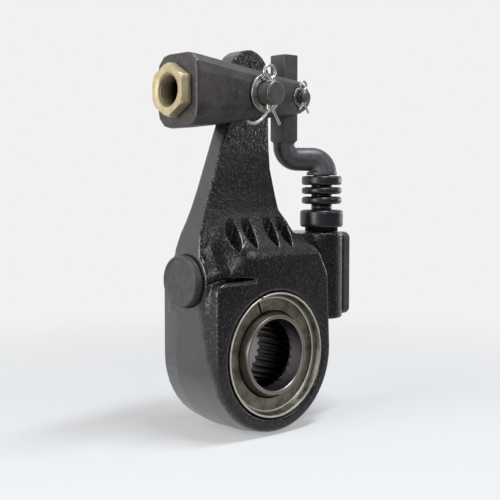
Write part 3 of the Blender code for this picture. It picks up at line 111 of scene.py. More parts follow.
# Places along the slope, how full it is there, and how high it goes.
SLOPE_ENDS = (
    (-32.0, 0.24, 77.0),
    (-30.0, 0.33, 78.0),
    (-25.5, 0.70, 78.0),
    (-21.0, 0.93, 78.0),
    (-16.0, 1.0, 78.0),
    (17.0, 1.0, 78.0),
    (20.0, 1.0, 70.5),
    (20.8, 1.0, 64.7),
    (26.6, 1.0, 64.3),
    (33.0, 1.0, 54.3),
)
# The lower tip of each slot, and its length next to the shortest one's.
SLOTS = ((-23.8, 55.4, 1.1), (-12.8, 57.2, 1.0), (2.9, 57.2, 1.0), (12.9, 57.2, 1.0))
SLOT_LEFT = ((-0.9, 2.2), (-2.1, 4.5), (-2.6, 7.5), (-2.2, 11.0), (-0.8, 14.5))
SLOT_RIGHT = ((0.6, 16.8), (3.4, 17.0), (5.2, 15.4), (5.4, 12.5), (4.5, 8.5), (2.9, 4.8), (0.9, 1.5))
SLOT_FLOOR = 8.0
CREASE = (
    (-47.0, 37.5), (-41.5, 40.0), (-34.0, 41.2), (-25.0, 41.3), (-17.0, 41.7), (-13.0, 42.3),
    (-17.0, 42.7), (-25.0, 43.1), (-34.0, 43.1), (-41.5, 41.9), (-47.0, 38.4),
)


def linear(code):
    """A colour for a socket from its sRGB hex code."""
    parts = [int(code[i:i + 2], 16) / 255 for i in (1, 3, 5)]
    return tuple(c / 12.92 if c <= 0.04045 else ((c + 0.055) / 1.055) ** 2.4 for c in parts) + (1.0,)


def add(tree, kind, values=None, links=None, **settings):
    """A node with its settings, the values of its inputs and the links into them."""
    node = tree.nodes.new(kind)
    for key, value in settings.items():
        setattr(node, key, value)
    for key, value in (values or {}).items():
        node.inputs[key].default_value = value
    for key, source in (links or {}).items():
        tree.links.new(source, node.inputs[key])
    return node


def new_material(name, roughness, metallic):
    """An empty material with its shader and the place on the piece that its patterns read."""
    made = bpy.data.materials.new(name)
    made.use_nodes = True
    tree = made.node_tree
    shader = tree.nodes["Principled BSDF"]
    shader.inputs["Roughness"].default_value = roughness
    shader.inputs["Metallic"].default_value = metallic
    place = add(tree, "ShaderNodeTexCoord").outputs["Object"]
    return made, tree, shader, place


def loft(bm, rings):
    """Adds the closed skin through these rings of points."""
    rows = [[bm.verts.new(point) for point in ring] for ring in rings]
    for low, high in zip(rows, rows[1:]):
        for i, vert in enumerate(low):
            j = (i + 1) % len(low)
            bm.faces.new((vert, low[j], high[j], high[i]))
    bm.faces.new(list(reversed(rows[0])))
    bm.faces.new(rows[-1])


def to_mesh(bm, name):
    """The plain mesh of this work, with its faces turned outwards."""
    bmesh.ops.recalc_face_normals(bm, faces=bm.faces)
    mesh = bpy.data.meshes.new(name)
    bm.to_mesh(mesh)
    bm.free()
    return mesh


def worked(mesh, *steps):
    """The mesh after these modifiers, each given as its kind and its settings."""
    holder = bpy.data.objects.new(mesh.name + " blank", mesh)
    bpy.context.collection.objects.link(holder)
    for kind, settings in steps:
        step = holder.modifiers.new(kind, kind)
        for key, value in settings.items():
            setattr(step, key, value)
    result = bpy.data.meshes.new_from_object(holder.evaluated_get(bpy.context.evaluated_depsgraph_get()))
    result.name = mesh.name
    bpy.data.objects.remove(holder, do_unlink=True)
    return result


def even_skin(grain):
    return "REMESH", {"mode": "VOXEL", "voxel_size": grain}


def smoothing(rounds, group=""):
    return "SMOOTH", {"factor": 0.5, "iterations": rounds, "vertex_group": group}


def fewer_faces(share):
    return "DECIMATE", {"ratio": share}


def packed_copy(bm, node):
    """Adds a node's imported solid, its loose triangles merged."""
    bm.from_mesh(nodes[node].data)
    bmesh.ops.remove_doubles(bm, verts=bm.verts, dist=0.001 * MM)


def carved(mesh, cutter_mesh):
    """The mesh with the cutter's shapes taken out of it."""
    cutter = bpy.data.objects.new("cutter", cutter_mesh)
    bpy.context.collection.objects.link(cutter)
    result = worked(mesh, ("BOOLEAN", {"operation": "DIFFERENCE", "solver": "MANIFOLD", "object": cutter}))
    bpy.data.objects.remove(cutter, do_unlink=True)
    return result


def fit(name, mesh, finish, body, slot, *replaced):
    """A finished piece of this mesh and material, on its body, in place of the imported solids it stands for. A
    piece that bends between two bodies is given none here."""
    obj = bpy.data.objects.new(name, mesh)
    bpy.context.collection.objects.link(obj)
    mesh.materials.clear()
    mesh.materials.append(finish)
    if body:
        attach(obj, body)
    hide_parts(*replaced)
    return obj


def slope_depth(height, fullness):
    """Half the slope's thickness at a height, for how full it is there."""
    for (low, faded_low, full_low), (high, faded_high, full_high) in zip(SLOPE, SLOPE[1:]):
        if height <= high + 1e-6:
            share = (height - low) / (high - low)
            faded = faded_low + share * (faded_high - faded_low)
            full = full_low + share * (full_high - full_low)
            return faded + fullness * (full - faded)
    return SLOPE[-1][1]


def slope_slab(bm, side):
    """Adds the slope on the front (-1) or the rear (1), clear of the worm's tunnel."""
    rings = []
    for x, fullness, top in SLOPE_ENDS:
        heights = [41.5 + (top - 41.5) * level / 14 for level in range(15)]
        outer = [(x * MM, side * slope_depth(z, fullness) * MM, z * MM) for z in heights]
        inner = [(x * MM, side * (14.0 if z < 56 else 5.0) * MM, z * MM) for z in heights]
        rings.append(outer + list(reversed(inner)))
    loft(bm, rings)


def casting_blank():
    """The casting before its slots are cut, with the slope blended into the body's face."""
    bm = bmesh.new()
    packed_copy(bm, "housing")
    slope_slab(bm, -1)
    slope_slab(bm, 1)
    mesh = worked(to_mesh(bm, "housing_casting"), even_skin(CASTING_GRAIN))
    group = bpy.data.objects.new("blend", mesh)
    bpy.context.collection.objects.link(group)
    blend = group.vertex_groups.new(name="blend")
    for vert in mesh.vertices:
        x, y, z = (value / MM for value in vert.co)
        inside = min((x + 31) / 5, (30 - x) / 4, (z - 43.2) / 1.5, (63 - z) / 3, (abs(y) - 13) / 3, 1.0)
        if inside > 0:
            blend.add([vert.index], inside, "REPLACE")
    step = group.modifiers.new("blend", "SMOOTH")
    step.factor, step.iterations, step.vertex_group = 0.5, 190, "blend"
    result = bpy.data.meshes.new_from_object(group.evaluated_get(bpy.context.evaluated_depsgraph_get()))
    bpy.data.objects.remove(group, do_unlink=True)
    result.name = "housing_casting"
    return result


def slots_and_crease():
    """The shapes that the mould's cores leave open: four slots in the slope and the crease over the body."""
    bm = bmesh.new()
    for x, z, length in SLOTS:
        outline = [(0.0, 0.0), *SLOT_LEFT, *SLOT_RIGHT]
        outline = [((x + u) * MM, (z + v * length) * MM) for u, v in outline]
        front = [(u, -30 * MM, v) for u, v in outline]
        floor = [(u, -SLOT_FLOOR * MM, v) for u, v in outline]
        loft(bm, [front, floor])
    loft(bm, [[(x * MM, y * MM, z * MM) for x, z in CREASE] for y in (-27.0, -16.2)])
    return to_mesh(bm, "cores")


def painted_cast_iron():
    """Black chassis paint over sand-cast iron: glossy, with a pimpled grain whose peaks are painted paler, as
    painted highlights on the faces. The sides are smoother and duller, and painted greyer: partly a ground
    finish, partly painted light from the left. Low down they are painted paler still: a painted reflection
    of the pale floor."""
    made, tree, shader, place = new_material("painted_cast_iron", 0.3, 0.0)
    # Real sand grain is about 0.3 mm. It is drawn at 1.1 mm, because a finer one doesn't show in the render.
    upward = add(tree, "ShaderNodeMapping", {"Scale": (1.0, 1.0, 0.65)}, {"Vector": place})
    sand = add(
        tree, "ShaderNodeTexNoise", {"Scale": 1 / (1.1 * MM), "Detail": 2.0, "Roughness": 0.6},
        {"Vector": upward.outputs[0]},
    )
    wave = add(tree, "ShaderNodeTexNoise", {"Scale": 1 / (5.0 * MM), "Detail": 3.0}, {"Vector": place})
    dust = add(tree, "ShaderNodeTexNoise", {"Scale": 1 / (14.0 * MM), "Detail": 5.0, "Roughness": 0.7}, {"Vector": place})
    facing = add(tree, "ShaderNodeTexCoord").outputs["Normal"]
    apart = add(tree, "ShaderNodeSeparateXYZ", links={"Vector": facing})
    across = add(tree, "ShaderNodeMath", links={0: apart.outputs["Y"]}, operation="ABSOLUTE")
    upright = add(
        tree, "ShaderNodeMapRange", {1: 0.42, 2: 0.14}, {"Value": across.outputs[0]}, interpolation_type="SMOOTHSTEP"
    )
    # The slots' own walls keep the black paint: they lie within a box round SLOTS.
    off_slots = add(
        tree, "ShaderNodeMapping", {"Location": (4.0 / 26, 0.0, -65.5 / 13.5), "Scale": (1 / (26 * MM), 0.0, 1 / (13.5 * MM))},
        {"Vector": place},
    )
    spread = add(tree, "ShaderNodeVectorMath", links={0: off_slots.outputs[0]}, operation="ABSOLUTE")
    spans = add(tree, "ShaderNodeSeparateXYZ", links={"Vector": spread.outputs[0]})
    span = add(tree, "ShaderNodeMath", links={0: spans.outputs["X"], 1: spans.outputs["Z"]}, operation="MAXIMUM")
    clear_of_slots = add(tree, "ShaderNodeMapRange", {1: 0.94, 2: 1.04}, {"Value": span.outputs[0]})
    # The faces' black colour reaches round the front edge onto the sides, in a ragged band that widens under the tube.
    at = add(tree, "ShaderNodeSeparateXYZ", links={"Vector": place})
    band = add(
        tree, "ShaderNodeMapRange", {1: -12.0 * MM, 2: 30.0 * MM, 3: -20.5 * MM, 4: -11.0 * MM},
        {"Value": at.outputs["Z"]},
    )
    above = add(tree, "ShaderNodeMapRange", {1: 44.0 * MM, 2: 50.0 * MM}, {"Value": at.outputs["Z"]})
    edge = add(tree, "ShaderNodeMix", {3: -30.0 * MM}, {0: above.outputs[0], 2: band.outputs[0]})
    ragged = add(tree, "ShaderNodeMath", {1: 5.0 * MM, 2: -2.5 * MM}, {0: wave.outputs[0]}, operation="MULTIPLY_ADD")
    behind_edge = add(tree, "ShaderNodeMath", links={0: at.outputs["Y"], 1: edge.outputs[0]}, operation="SUBTRACT")
    inward = add(tree, "ShaderNodeMath", links={0: behind_edge.outputs[0], 1: ragged.outputs[0]}, operation="ADD")
    off_front_edge = add(tree, "ShaderNodeMapRange", {1: 0.0, 2: 3.0 * MM}, {"Value": inward.outputs[0]})
    not_slot = add(
        tree, "ShaderNodeMath", links={0: upright.outputs[0], 1: clear_of_slots.outputs[0]}, operation="MULTIPLY"
    )
    side = add(
        tree, "ShaderNodeMath", links={0: not_slot.outputs[0], 1: off_front_edge.outputs[0]}, operation="MULTIPLY"
    )
    patch = add(tree, "ShaderNodeMapRange", {1: 0.4, 2: 0.75}, {"Value": dust.outputs[0]})
    face_colour = add(
        tree, "ShaderNodeMix", {6: linear("#0A0909"), 7: linear("#161413")}, {0: patch.outputs[0]}, data_type="RGBA"
    )
    # The grain's peaks are painted paler: painted highlights that stand in for the lamps glinting on the grain.
    peak = add(tree, "ShaderNodeMapRange", {1: 0.5, 2: 0.85}, {"Value": sand.outputs[0]})
    grain_glints = add(
        tree, "ShaderNodeMix", {7: linear("#4A4541")}, {0: peak.outputs[0], 6: face_colour.outputs[2]},
        data_type="RGBA",
    )
    # The sides' greyer colour is partly their ground finish and partly painted light from the lamp on the left.
    side_colour = add(
        tree, "ShaderNodeMix", {6: linear("#2B2B2C"), 7: linear("#39393A")}, {0: patch.outputs[0]}, data_type="RGBA"
    )
    # Low down the side is painted paler towards the bottom: a painted reflection of the pale floor.
    low = add(tree, "ShaderNodeMapRange", {1: -6.0 * MM, 2: -32.0 * MM, 4: 0.9}, {"Value": at.outputs["Z"]})
    painted_reflection = add(
        tree, "ShaderNodeMix", {7: linear("#6F7072")}, {0: low.outputs[0], 6: side_colour.outputs[2]},
        data_type="RGBA",
    )
    colour = add(
        tree, "ShaderNodeMix", links={0: side.outputs[0], 6: grain_glints.outputs[2], 7: painted_reflection.outputs[2]},
        data_type="RGBA",
    )
    face_gloss = add(tree, "ShaderNodeMapRange", {1: 0.3, 2: 0.7, 3: 0.16, 4: 0.26}, {"Value": dust.outputs[0]})
    gloss = add(tree, "ShaderNodeMix", {3: 0.24}, {0: side.outputs[0], 2: face_gloss.outputs[0]})
    sheen = add(tree, "ShaderNodeMapRange", {3: 0.5, 4: 1.0}, {"Value": side.outputs[0]})
    lumps = add(tree, "ShaderNodeBump", {"Strength": 0.5, "Distance": 0.5 * MM}, {"Height": wave.outputs[0]})
    roughcast = add(tree, "ShaderNodeMapRange", {3: 1.0, 4: 0.3}, {"Value": side.outputs[0]})
    coarse = add(
        tree, "ShaderNodeMapRange", {1: 58.0 * MM, 2: 76.0 * MM, 3: 0.20 * MM, 4: 0.55 * MM}, {"Value": at.outputs["Z"]}
    )
    grain = add(
        tree, "ShaderNodeBump",
        links={
            "Height": sand.outputs[0], "Normal": lumps.outputs[0], "Strength": roughcast.outputs[0],
            "Distance": coarse.outputs[0],
        },
    )
    tree.links.new(colour.outputs[2], shader.inputs["Base Color"])
    tree.links.new(gloss.outputs[0], shader.inputs["Roughness"])
    tree.links.new(sheen.outputs[0], shader.inputs["Specular IOR Level"])
    tree.links.new(grain.outputs[0], shader.inputs["Normal"])
    return made


casting = carved(casting_blank(), slots_and_crease())
casting = worked(casting, even_skin(CASTING_GRAIN), smoothing(7), fewer_faces(CASTING_SHARE))
casting.shade_smooth()
fit("housing_casting", casting, painted_cast_iron(), "housing", "housing_paint", "housing")


# Arm bushing, thrust washers and worm bushings
# Plain bronze bushes, turned and pressed in. They are hidden, so they keep their solids and get their metal.


def turned_bronze():
    """Bearing bronze as turned: a warm brown metal with the tool's fine rings and darker oil stains."""
    made, tree, shader, place = new_material("turned_bronze", 0.38, 1.0)
    stain = add(tree, "ShaderNodeTexNoise", {"Scale": 1 / (5.0 * MM), "Detail": 4.0}, {"Vector": place})
    colour = add(
        tree, "ShaderNodeMix", {6: linear("#8A6238"), 7: linear("#B98A52")}, {0: stain.outputs[0]}, data_type="RGBA"
    )
    rings = add(tree, "ShaderNodeTexNoise", {"Scale": 1 / (0.4 * MM), "Detail": 1.0}, {"Vector": place})
    cut = add(tree, "ShaderNodeBump", {"Strength": 0.2, "Distance": 0.05 * MM}, {"Height": rings.outputs[0]})
    tree.links.new(colour.outputs[2], shader.inputs["Base Color"])
    tree.links.new(cut.outputs[0], shader.inputs["Normal"])
    return made


def finish_nodes(finish, *names):
    """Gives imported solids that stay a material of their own."""
    for name in names:
        mesh = nodes[name].data
        mesh.materials.clear()
        mesh.materials.append(finish)


bronze = turned_bronze()
finish_nodes(bronze, "arm_bushing", "thrust_washer_front", "thrust_washer_rear", "worm_bushing_left", "worm_bushing_right")


# Worm wheel
# A steel wheel that turns the camshaft. Its hub is bored, broached with a spline and chamfered at both ends,
# and its rim is hobbed with leaning teeth, which are hidden in the casting.

SPLINE_TEETH = 28
SPLINE_ROOT = 19.05 * MM
SPLINE_CREST = 17.55 * MM
LEAD_IN_RADIUS = 19.4 * MM
LEAD_IN_DEPTH = 11.0 * MM
HUB_RADIUS = 23.4 * MM
HUB_LIP_RADIUS = 21.5 * MM
HUB_FOOT = 18.8 * MM
WHEEL_TEETH = 21
WHEEL_PITCH_RADIUS = 30.975 * MM
TOOTH_TIP = 2.8 * MM
TOOTH_ROOT = 3.48 * MM
TOOTH_LEAN = 0.1435
WHEEL_HALF = 11.0 * MM
THRUST_FACE = 12.2 * MM
WHEEL_COLUMNS = 672


def lathe(name, profile, columns=96, low=0.0, high=2 * math.pi):
    """The body that a profile sweeps round Z. The profile gives (radius, height) points for an angle, and it
    is closed into a ring unless it starts and ends on the axis. A part turn gets an end face at each end."""
    bm = bmesh.new()
    full = high - low > 2 * math.pi - 1e-6
    count = columns if full else columns + 1
    rows = []
    for column in range(count):
        angle = low + (high - low) * column / columns
        cos, sin = math.cos(angle), math.sin(angle)
        rows.append([bm.verts.new((radius * cos, radius * sin, height)) for radius, height in profile(angle)])
    size = len(rows[0])
    first = profile(low)
    ring = first[0][0] > 1e-9 or first[-1][0] > 1e-9
    for column in range(columns):
        this, following = rows[column], rows[(column + 1) % count]
        for i in range(size if ring else size - 1):
            j = (i + 1) % size
            bm.faces.new((this[i], following[i], following[j], this[j]))
    if not full:
        bm.faces.new(rows[0])
        bm.faces.new(list(reversed(rows[-1])))
    bmesh.ops.remove_doubles(bm, verts=bm.verts, dist=1e-8)
    bmesh.ops.dissolve_degenerate(bm, edges=bm.edges, dist=1e-8)
    bmesh.ops.recalc_face_normals(bm, faces=bm.faces)
    mesh = bpy.data.meshes.new(name)
    bm.to_mesh(mesh)
    bm.free()
    mesh.shade_smooth()
    return mesh


def eased(points, size, steps=4, closed=False):
    """The same outline with its corners rounded: each corner becomes a curve that starts this far from it."""
    result = []
    count = len(points)
    for i, point in enumerate(points):
        if not closed and i in (0, count - 1):
            result.append(point)
            continue
        corner = Vector(point)
        into, out = Vector(points[i - 1]) - corner, Vector(points[(i + 1) % count]) - corner
        start = corner + into * min(0.4, size / into.length)
        end = corner + out * min(0.4, size / out.length)
        # A point just before and after the curve keeps the shading of the flats beside it even.
        result.append(tuple(corner + into * min(0.48, 1.3 * size / into.length)))
        for step in range(steps + 1):
            t = step / steps
            result.append(tuple(start * (1 - t) ** 2 + corner * 2 * t * (1 - t) + end * t**2))
        result.append(tuple(corner + out * min(0.48, 1.3 * size / out.length)))
    return result


TO_FRONT = Matrix(((1, 0, 0), (0, 0, -1), (0, 1, 0))).to_4x4()
TO_REAR = Matrix(((1, 0, 0), (0, 0, 1), (0, -1, 0))).to_4x4()
ALONG_X = Matrix(((0, 0, 1), (0, 1, 0), (-1, 0, 0))).to_4x4()


def laid(mesh, lie, place=(0, 0, 0)):
    """The mesh laid along its axis at its place."""
    mesh.transform(Matrix.Translation(Vector(place)) @ lie)
    return mesh


def tooth_wave(turns, crest, flank):
    """From 0 at a tooth's crest to 1 at its root, for a share of the tooth's pitch. The crest and flank are
    shares of the pitch too."""
    off = abs((turns + 0.5) % 1.0 - 0.5)
    rise = min(1.0, max(0.0, (off - crest / 2) / flank))
    return rise * rise * (3 - 2 * rise)


hub_end = 23.1 * MM
spline_end = hub_end - LEAD_IN_DEPTH


def wheel_profile(angle):
    spline = SPLINE_CREST + (SPLINE_ROOT - SPLINE_CREST) * tooth_wave(angle * SPLINE_TEETH / (2 * math.pi), 0.26, 0.18)
    inner = [(spline, 0.0), (spline, spline_end), (min(LEAD_IN_RADIUS, spline + 0.8 * MM), spline_end + 0.5 * MM)]
    inner += [(LEAD_IN_RADIUS, spline_end + 1.1 * MM)]
    inner += eased([(LEAD_IN_RADIUS, spline_end + 2 * MM), (LEAD_IN_RADIUS, hub_end - 0.7 * MM),
                    (LEAD_IN_RADIUS + 0.6 * MM, hub_end), (HUB_LIP_RADIUS, hub_end), (HUB_RADIUS, HUB_FOOT),
                    (HUB_RADIUS, THRUST_FACE + 0.5 * MM)], 0.25 * MM, 3)
    upper = inner + [(HUB_RADIUS, THRUST_FACE), (WHEEL_PITCH_RADIUS - TOOTH_ROOT - 0.8 * MM, THRUST_FACE)]
    lower = [(radius, -height) for radius, height in reversed(upper[1:])]
    rim = []
    for share in (1.0, 0.5, 0.0, -0.5, -1.0):
        height = share * WHEEL_HALF
        # A space lies straight up at the middle plane, where the worm's thread is.
        turned_by = angle - math.pi / 2 - height * TOOTH_LEAN / WHEEL_PITCH_RADIUS
        wave = tooth_wave(turned_by * WHEEL_TEETH / (2 * math.pi) + 0.5, 0.20, 0.30)
        rim.append((WHEEL_PITCH_RADIUS + TOOTH_TIP - (TOOTH_TIP + TOOTH_ROOT) * wave, height))
    return upper + rim + lower


def broached_steel():
    """Machined wheel steel, lightly oiled: grey with fine turning rings and bright on the hub's worn end. It is
    smoky purple in the lead-in. Its broached spline is painted near black, darkest at the roots: painted
    shade in the bore and between the teeth."""
    made, tree, shader, place = new_material("broached_steel", 0.34, 1.0)
    oil = add(tree, "ShaderNodeTexNoise", {"Scale": 1 / (6.0 * MM), "Detail": 5.0, "Roughness": 0.65}, {"Vector": place})
    turned = add(
        tree, "ShaderNodeMix", {6: linear("#4E4943"), 7: linear("#756D64")}, {0: oil.outputs[0]}, data_type="RGBA"
    )
    flat = add(tree, "ShaderNodeVectorMath", {1: (1.0, 0.0, 1.0)}, {0: place}, operation="MULTIPLY")
    radius = add(tree, "ShaderNodeVectorMath", links={0: flat.outputs[0]}, operation="LENGTH")
    apart = add(tree, "ShaderNodeSeparateXYZ", links={"Vector": place})
    depth = add(tree, "ShaderNodeMath", links={0: apart.outputs["Y"]}, operation="ABSOLUTE")
    end_face = add(
        tree, "ShaderNodeMapRange", {1: hub_end - 0.9 * MM, 2: hub_end - 0.3 * MM}, {"Value": depth.outputs[0]}
    )
    outside = add(
        tree, "ShaderNodeMapRange", {1: LEAD_IN_RADIUS + 0.05 * MM, 2: LEAD_IN_RADIUS + 0.3 * MM},
        {"Value": radius.outputs["Value"]},
    )
    lead_in = add(
        tree, "ShaderNodeMapRange", {1: SPLINE_ROOT + 0.05 * MM, 2: LEAD_IN_RADIUS - 0.05 * MM},
        {"Value": radius.outputs["Value"]},
    )
    worn = add(
        tree, "ShaderNodeMix", {7: linear("#8F877D")}, {0: end_face.outputs[0], 6: turned.outputs[2]},
        data_type="RGBA",
    )
    # The spline inside the bore is painted near black, darker at its roots: painted shade in the bore.
    crest = add(
        tree, "ShaderNodeMapRange", {1: SPLINE_CREST + 0.5 * MM, 2: SPLINE_CREST}, {"Value": radius.outputs["Value"]}
    )
    spline_shade = add(
        tree, "ShaderNodeMix", {6: linear("#0B0A09"), 7: linear("#1B1817")}, {0: crest.outputs[0]}, data_type="RGBA"
    )
    smoky = add(
        tree, "ShaderNodeMix", {7: linear("#7D787C")}, {0: lead_in.outputs[0], 6: spline_shade.outputs[2]},
        data_type="RGBA",
    )
    colour = add(
        tree, "ShaderNodeMix", links={0: outside.outputs[0], 6: smoky.outputs[2], 7: worn.outputs[2]},
        data_type="RGBA",
    )
    cut = add(tree, "ShaderNodeTexNoise", {"Scale": 1 / (0.7 * MM), "Detail": 2.0}, {"Vector": place})
    bump = add(tree, "ShaderNodeBump", {"Strength": 0.15, "Distance": 0.06 * MM}, {"Height": cut.outputs[0]})
    tree.links.new(colour.outputs[2], shader.inputs["Base Color"])
    tree.links.new(bump.outputs[0], shader.inputs["Normal"])
    return made


wheel_mesh = laid(lathe("worm_wheel_cut", wheel_profile, WHEEL_COLUMNS), TO_FRONT)
fit("worm_wheel_cut", wheel_mesh, broached_steel(), "wheel", "wheel_steel", "worm_wheel")


# Hub seals
# Moulded rubber rings between the washers and the retaining rings. Only their edge can be glimpsed.


def moulded_rubber():
    """Black rubber from a mould: dull and soft, with a faint bloom and a slightly uneven skin."""
    made, tree, shader, place = new_material("moulded_rubber", 0.3, 0.0)
    bloom = add(tree, "ShaderNodeTexNoise", {"Scale": 1 / (4.0 * MM), "Detail": 4.0, "Roughness": 0.6}, {"Vector": place})
    colour = add(
        tree, "ShaderNodeMix", {6: linear("#101112"), 7: linear("#1C1E20")}, {0: bloom.outputs[0]}, data_type="RGBA"
    )
    gloss = add(tree, "ShaderNodeMapRange", {1: 0.3, 2: 0.7, 3: 0.24, 4: 0.38}, {"Value": bloom.outputs[0]})
    skin = add(tree, "ShaderNodeTexNoise", {"Scale": 1 / (1.4 * MM), "Detail": 2.0}, {"Vector": place})
    bump = add(tree, "ShaderNodeBump", {"Strength": 0.1, "Distance": 0.08 * MM}, {"Height": skin.outputs[0]})
    tree.links.new(colour.outputs[2], shader.inputs["Base Color"])
    tree.links.new(gloss.outputs[0], shader.inputs["Roughness"])
    tree.links.new(bump.outputs[0], shader.inputs["Normal"])
    return made


rubber = moulded_rubber()
finish_nodes(rubber, "hub_seal_front", "hub_seal_rear", "worm_seal")


# Retaining rings
# Dished rings of spring steel, pressed from strip and split once, that snap into the casting round the hub.
# Their rim lies flush with the casting's face.

RING_INNER = 23.8 * MM
RING_FLOOR = 17.3 * MM
RING_THICK = 1.5 * MM
RING_FLOOR_RADIUS = 31.0 * MM
RING_RIM_RADIUS = 33.9 * MM
RING_RIM = 23.2 * MM
RING_SPLIT = 1.6 * MM
RING_SPLIT_ANGLE = math.radians(109)


def pressed_spring_steel():
    """Pressed strip: an olive-grey metal with round tool marks and a few brown stains on its floor. Its rim and
    ridge are painted bright: painted highlights where the strip is bent."""
    made, tree, shader, place = new_material("pressed_spring_steel", 0.36, 1.0)
    shader.inputs["Anisotropic"].default_value = 0.5
    around = add(tree, "ShaderNodeTangent", direction_type="RADIAL", axis="Y")
    stain = add(tree, "ShaderNodeTexNoise", {"Scale": 1 / (7.0 * MM), "Detail": 5.0, "Roughness": 0.7}, {"Vector": place})
    clean = add(tree, "ShaderNodeMapRange", {1: 0.35, 2: 0.65}, {"Value": stain.outputs[0]})
    dull = add(
        tree, "ShaderNodeMix", {6: linear("#575145"), 7: linear("#8F887B")}, {0: clean.outputs[0]}, data_type="RGBA"
    )
    flat = add(tree, "ShaderNodeVectorMath", {1: (1.0, 0.0, 1.0)}, {0: place}, operation="MULTIPLY")
    radius = add(tree, "ShaderNodeVectorMath", links={0: flat.outputs[0]}, operation="LENGTH")
    from_ridge = add(
        tree, "ShaderNodeMath", {1: RING_FLOOR_RADIUS + 0.1 * MM}, {0: radius.outputs["Value"]}, operation="SUBTRACT"
    )
    near_ridge = add(tree, "ShaderNodeMath", links={0: from_ridge.outputs[0]}, operation="ABSOLUTE")
    ridge = add(tree, "ShaderNodeMapRange", {1: 0.75 * MM, 2: 0.25 * MM}, {"Value": near_ridge.outputs[0]})
    rim = add(
        tree, "ShaderNodeMapRange", {1: RING_RIM_RADIUS - 1.1 * MM, 2: RING_RIM_RADIUS - 0.8 * MM},
        {"Value": radius.outputs["Value"]},
    )
    # The rim and the ridge are painted bright: painted highlights on the bends.
    painted_reflection = add(tree, "ShaderNodeMath", links={0: ridge.outputs[0], 1: rim.outputs[0]}, operation="MAXIMUM")
    colour = add(
        tree, "ShaderNodeMix", {7: linear("#D5CFC3")}, {0: painted_reflection.outputs[0], 6: dull.outputs[2]}, data_type="RGBA"
    )
    gloss = add(tree, "ShaderNodeMapRange", {1: 0.3, 2: 0.7, 3: 0.30, 4: 0.46}, {"Value": stain.outputs[0]})
    # The press leaves rings about 0.1 mm apart. They are drawn 0.7 mm apart, because finer ones don't show.
    marks = add(
        tree, "ShaderNodeTexNoise", {"Scale": 1 / (0.7 * MM), "Detail": 1.0}, {"W": radius.outputs["Value"]},
        noise_dimensions="1D",
    )
    bump = add(tree, "ShaderNodeBump", {"Strength": 0.15, "Distance": 0.06 * MM}, {"Height": marks.outputs[0]})
    tree.links.new(colour.outputs[2], shader.inputs["Base Color"])
    tree.links.new(gloss.outputs[0], shader.inputs["Roughness"])
    tree.links.new(around.outputs[0], shader.inputs["Tangent"])
    tree.links.new(bump.outputs[0], shader.inputs["Normal"])
    return made


def ring_profile(angle):
    section = [
        (RING_INNER, RING_FLOOR),
        (RING_FLOOR_RADIUS + 1.6 * MM, RING_FLOOR),
        (RING_RIM_RADIUS, RING_FLOOR + 1.2 * MM),
        (RING_RIM_RADIUS, RING_RIM),
        (RING_RIM_RADIUS - 1.0 * MM, RING_RIM),
        (RING_FLOOR_RADIUS, RING_FLOOR + RING_THICK),
        (RING_INNER, RING_FLOOR + RING_THICK),
    ]
    return eased(section, 0.45 * MM, 3, closed=True)


ring_steel = pressed_spring_steel()
half_gap = RING_SPLIT / 2 / RING_FLOOR_RADIUS
for side, lie in (("front", TO_FRONT), ("rear", TO_REAR)):
    ring_mesh = lathe(
        f"pressed_ring_{side}", ring_profile, 140, RING_SPLIT_ANGLE + half_gap,
        RING_SPLIT_ANGLE + 2 * math.pi - half_gap,
    )
    replaced = f"retaining_ring_{side}"
    fit(f"pressed_ring_{side}", laid(ring_mesh, lie), ring_steel, "housing", "ring_steel", replaced)


# Worm shaft
# A steel shaft with the worm's thread cut on it. It ends on the right in the hexagon that a spanner turns.


def oiled_gear_steel():
    """Cut gear steel, dark and oiled, lighter where the teeth have run."""
    made, tree, shader, place = new_material("oiled_gear_steel", 0.36, 1.0)
    film = add(tree, "ShaderNodeTexNoise", {"Scale": 1 / (4.0 * MM), "Detail": 4.0}, {"Vector": place})
    colour = add(
        tree, "ShaderNodeMix", {6: linear("#3C3B3A"), 7: linear("#6F6C68")}, {0: film.outputs[0]}, data_type="RGBA"
    )
    cut = add(tree, "ShaderNodeTexNoise", {"Scale": 1 / (0.8 * MM), "Detail": 2.0}, {"Vector": place})
    bump = add(tree, "ShaderNodeBump", {"Strength": 0.2, "Distance": 0.06 * MM}, {"Height": cut.outputs[0]})
    tree.links.new(colour.outputs[2], shader.inputs["Base Color"])
    tree.links.new(bump.outputs[0], shader.inputs["Normal"])
    return made


gear_steel = oiled_gear_steel()


def eased_copy(node, name, grain, rounds, share):
    """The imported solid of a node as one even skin, with its facets and edges eased."""
    bm = bmesh.new()
    packed_copy(bm, node)
    mesh = worked(to_mesh(bm, name), even_skin(grain), smoothing(rounds), fewer_faces(share))
    mesh.shade_smooth()
    return mesh


shaft_mesh = eased_copy("worm_shaft", "worm_shaft_cut", 0.35 * MM, 2, 0.5)
fit("worm_shaft_cut", shaft_mesh, gear_steel, "worm", "gear_steel", "worm_shaft")
finish_nodes(gear_steel, "clutch_pinion", "rack")


# Clutch spring and rack pin
# The wrap spring is coiled from round wire, and the pin that holds the rack is cut from the same.


def spring_wire():
    """Hard-drawn spring wire: a bright grey metal with faint draw marks."""
    made, tree, shader, place = new_material("spring_wire", 0.3, 1.0)
    drawn = add(tree, "ShaderNodeTexNoise", {"Scale": 1 / (2.0 * MM), "Detail": 3.0}, {"Vector": place})
    colour = add(
        tree, "ShaderNodeMix", {6: linear("#6E6E6C"), 7: linear("#989895")}, {0: drawn.outputs[0]}, data_type="RGBA"
    )
    tree.links.new(colour.outputs[2], shader.inputs["Base Color"])
    return made


finish_nodes(spring_wire(), "clutch_spring", "rack_pin")


# Worm cap
# A steel plug pressed into the left end of the worm's tube, with a thin raised edge. It is painted grey.

CAP_RADIUS = 13.64 * MM
TUBE_END = -44.0 * MM
CAP_THICK = 4.7 * MM
WORM_Z = 41.25 * MM


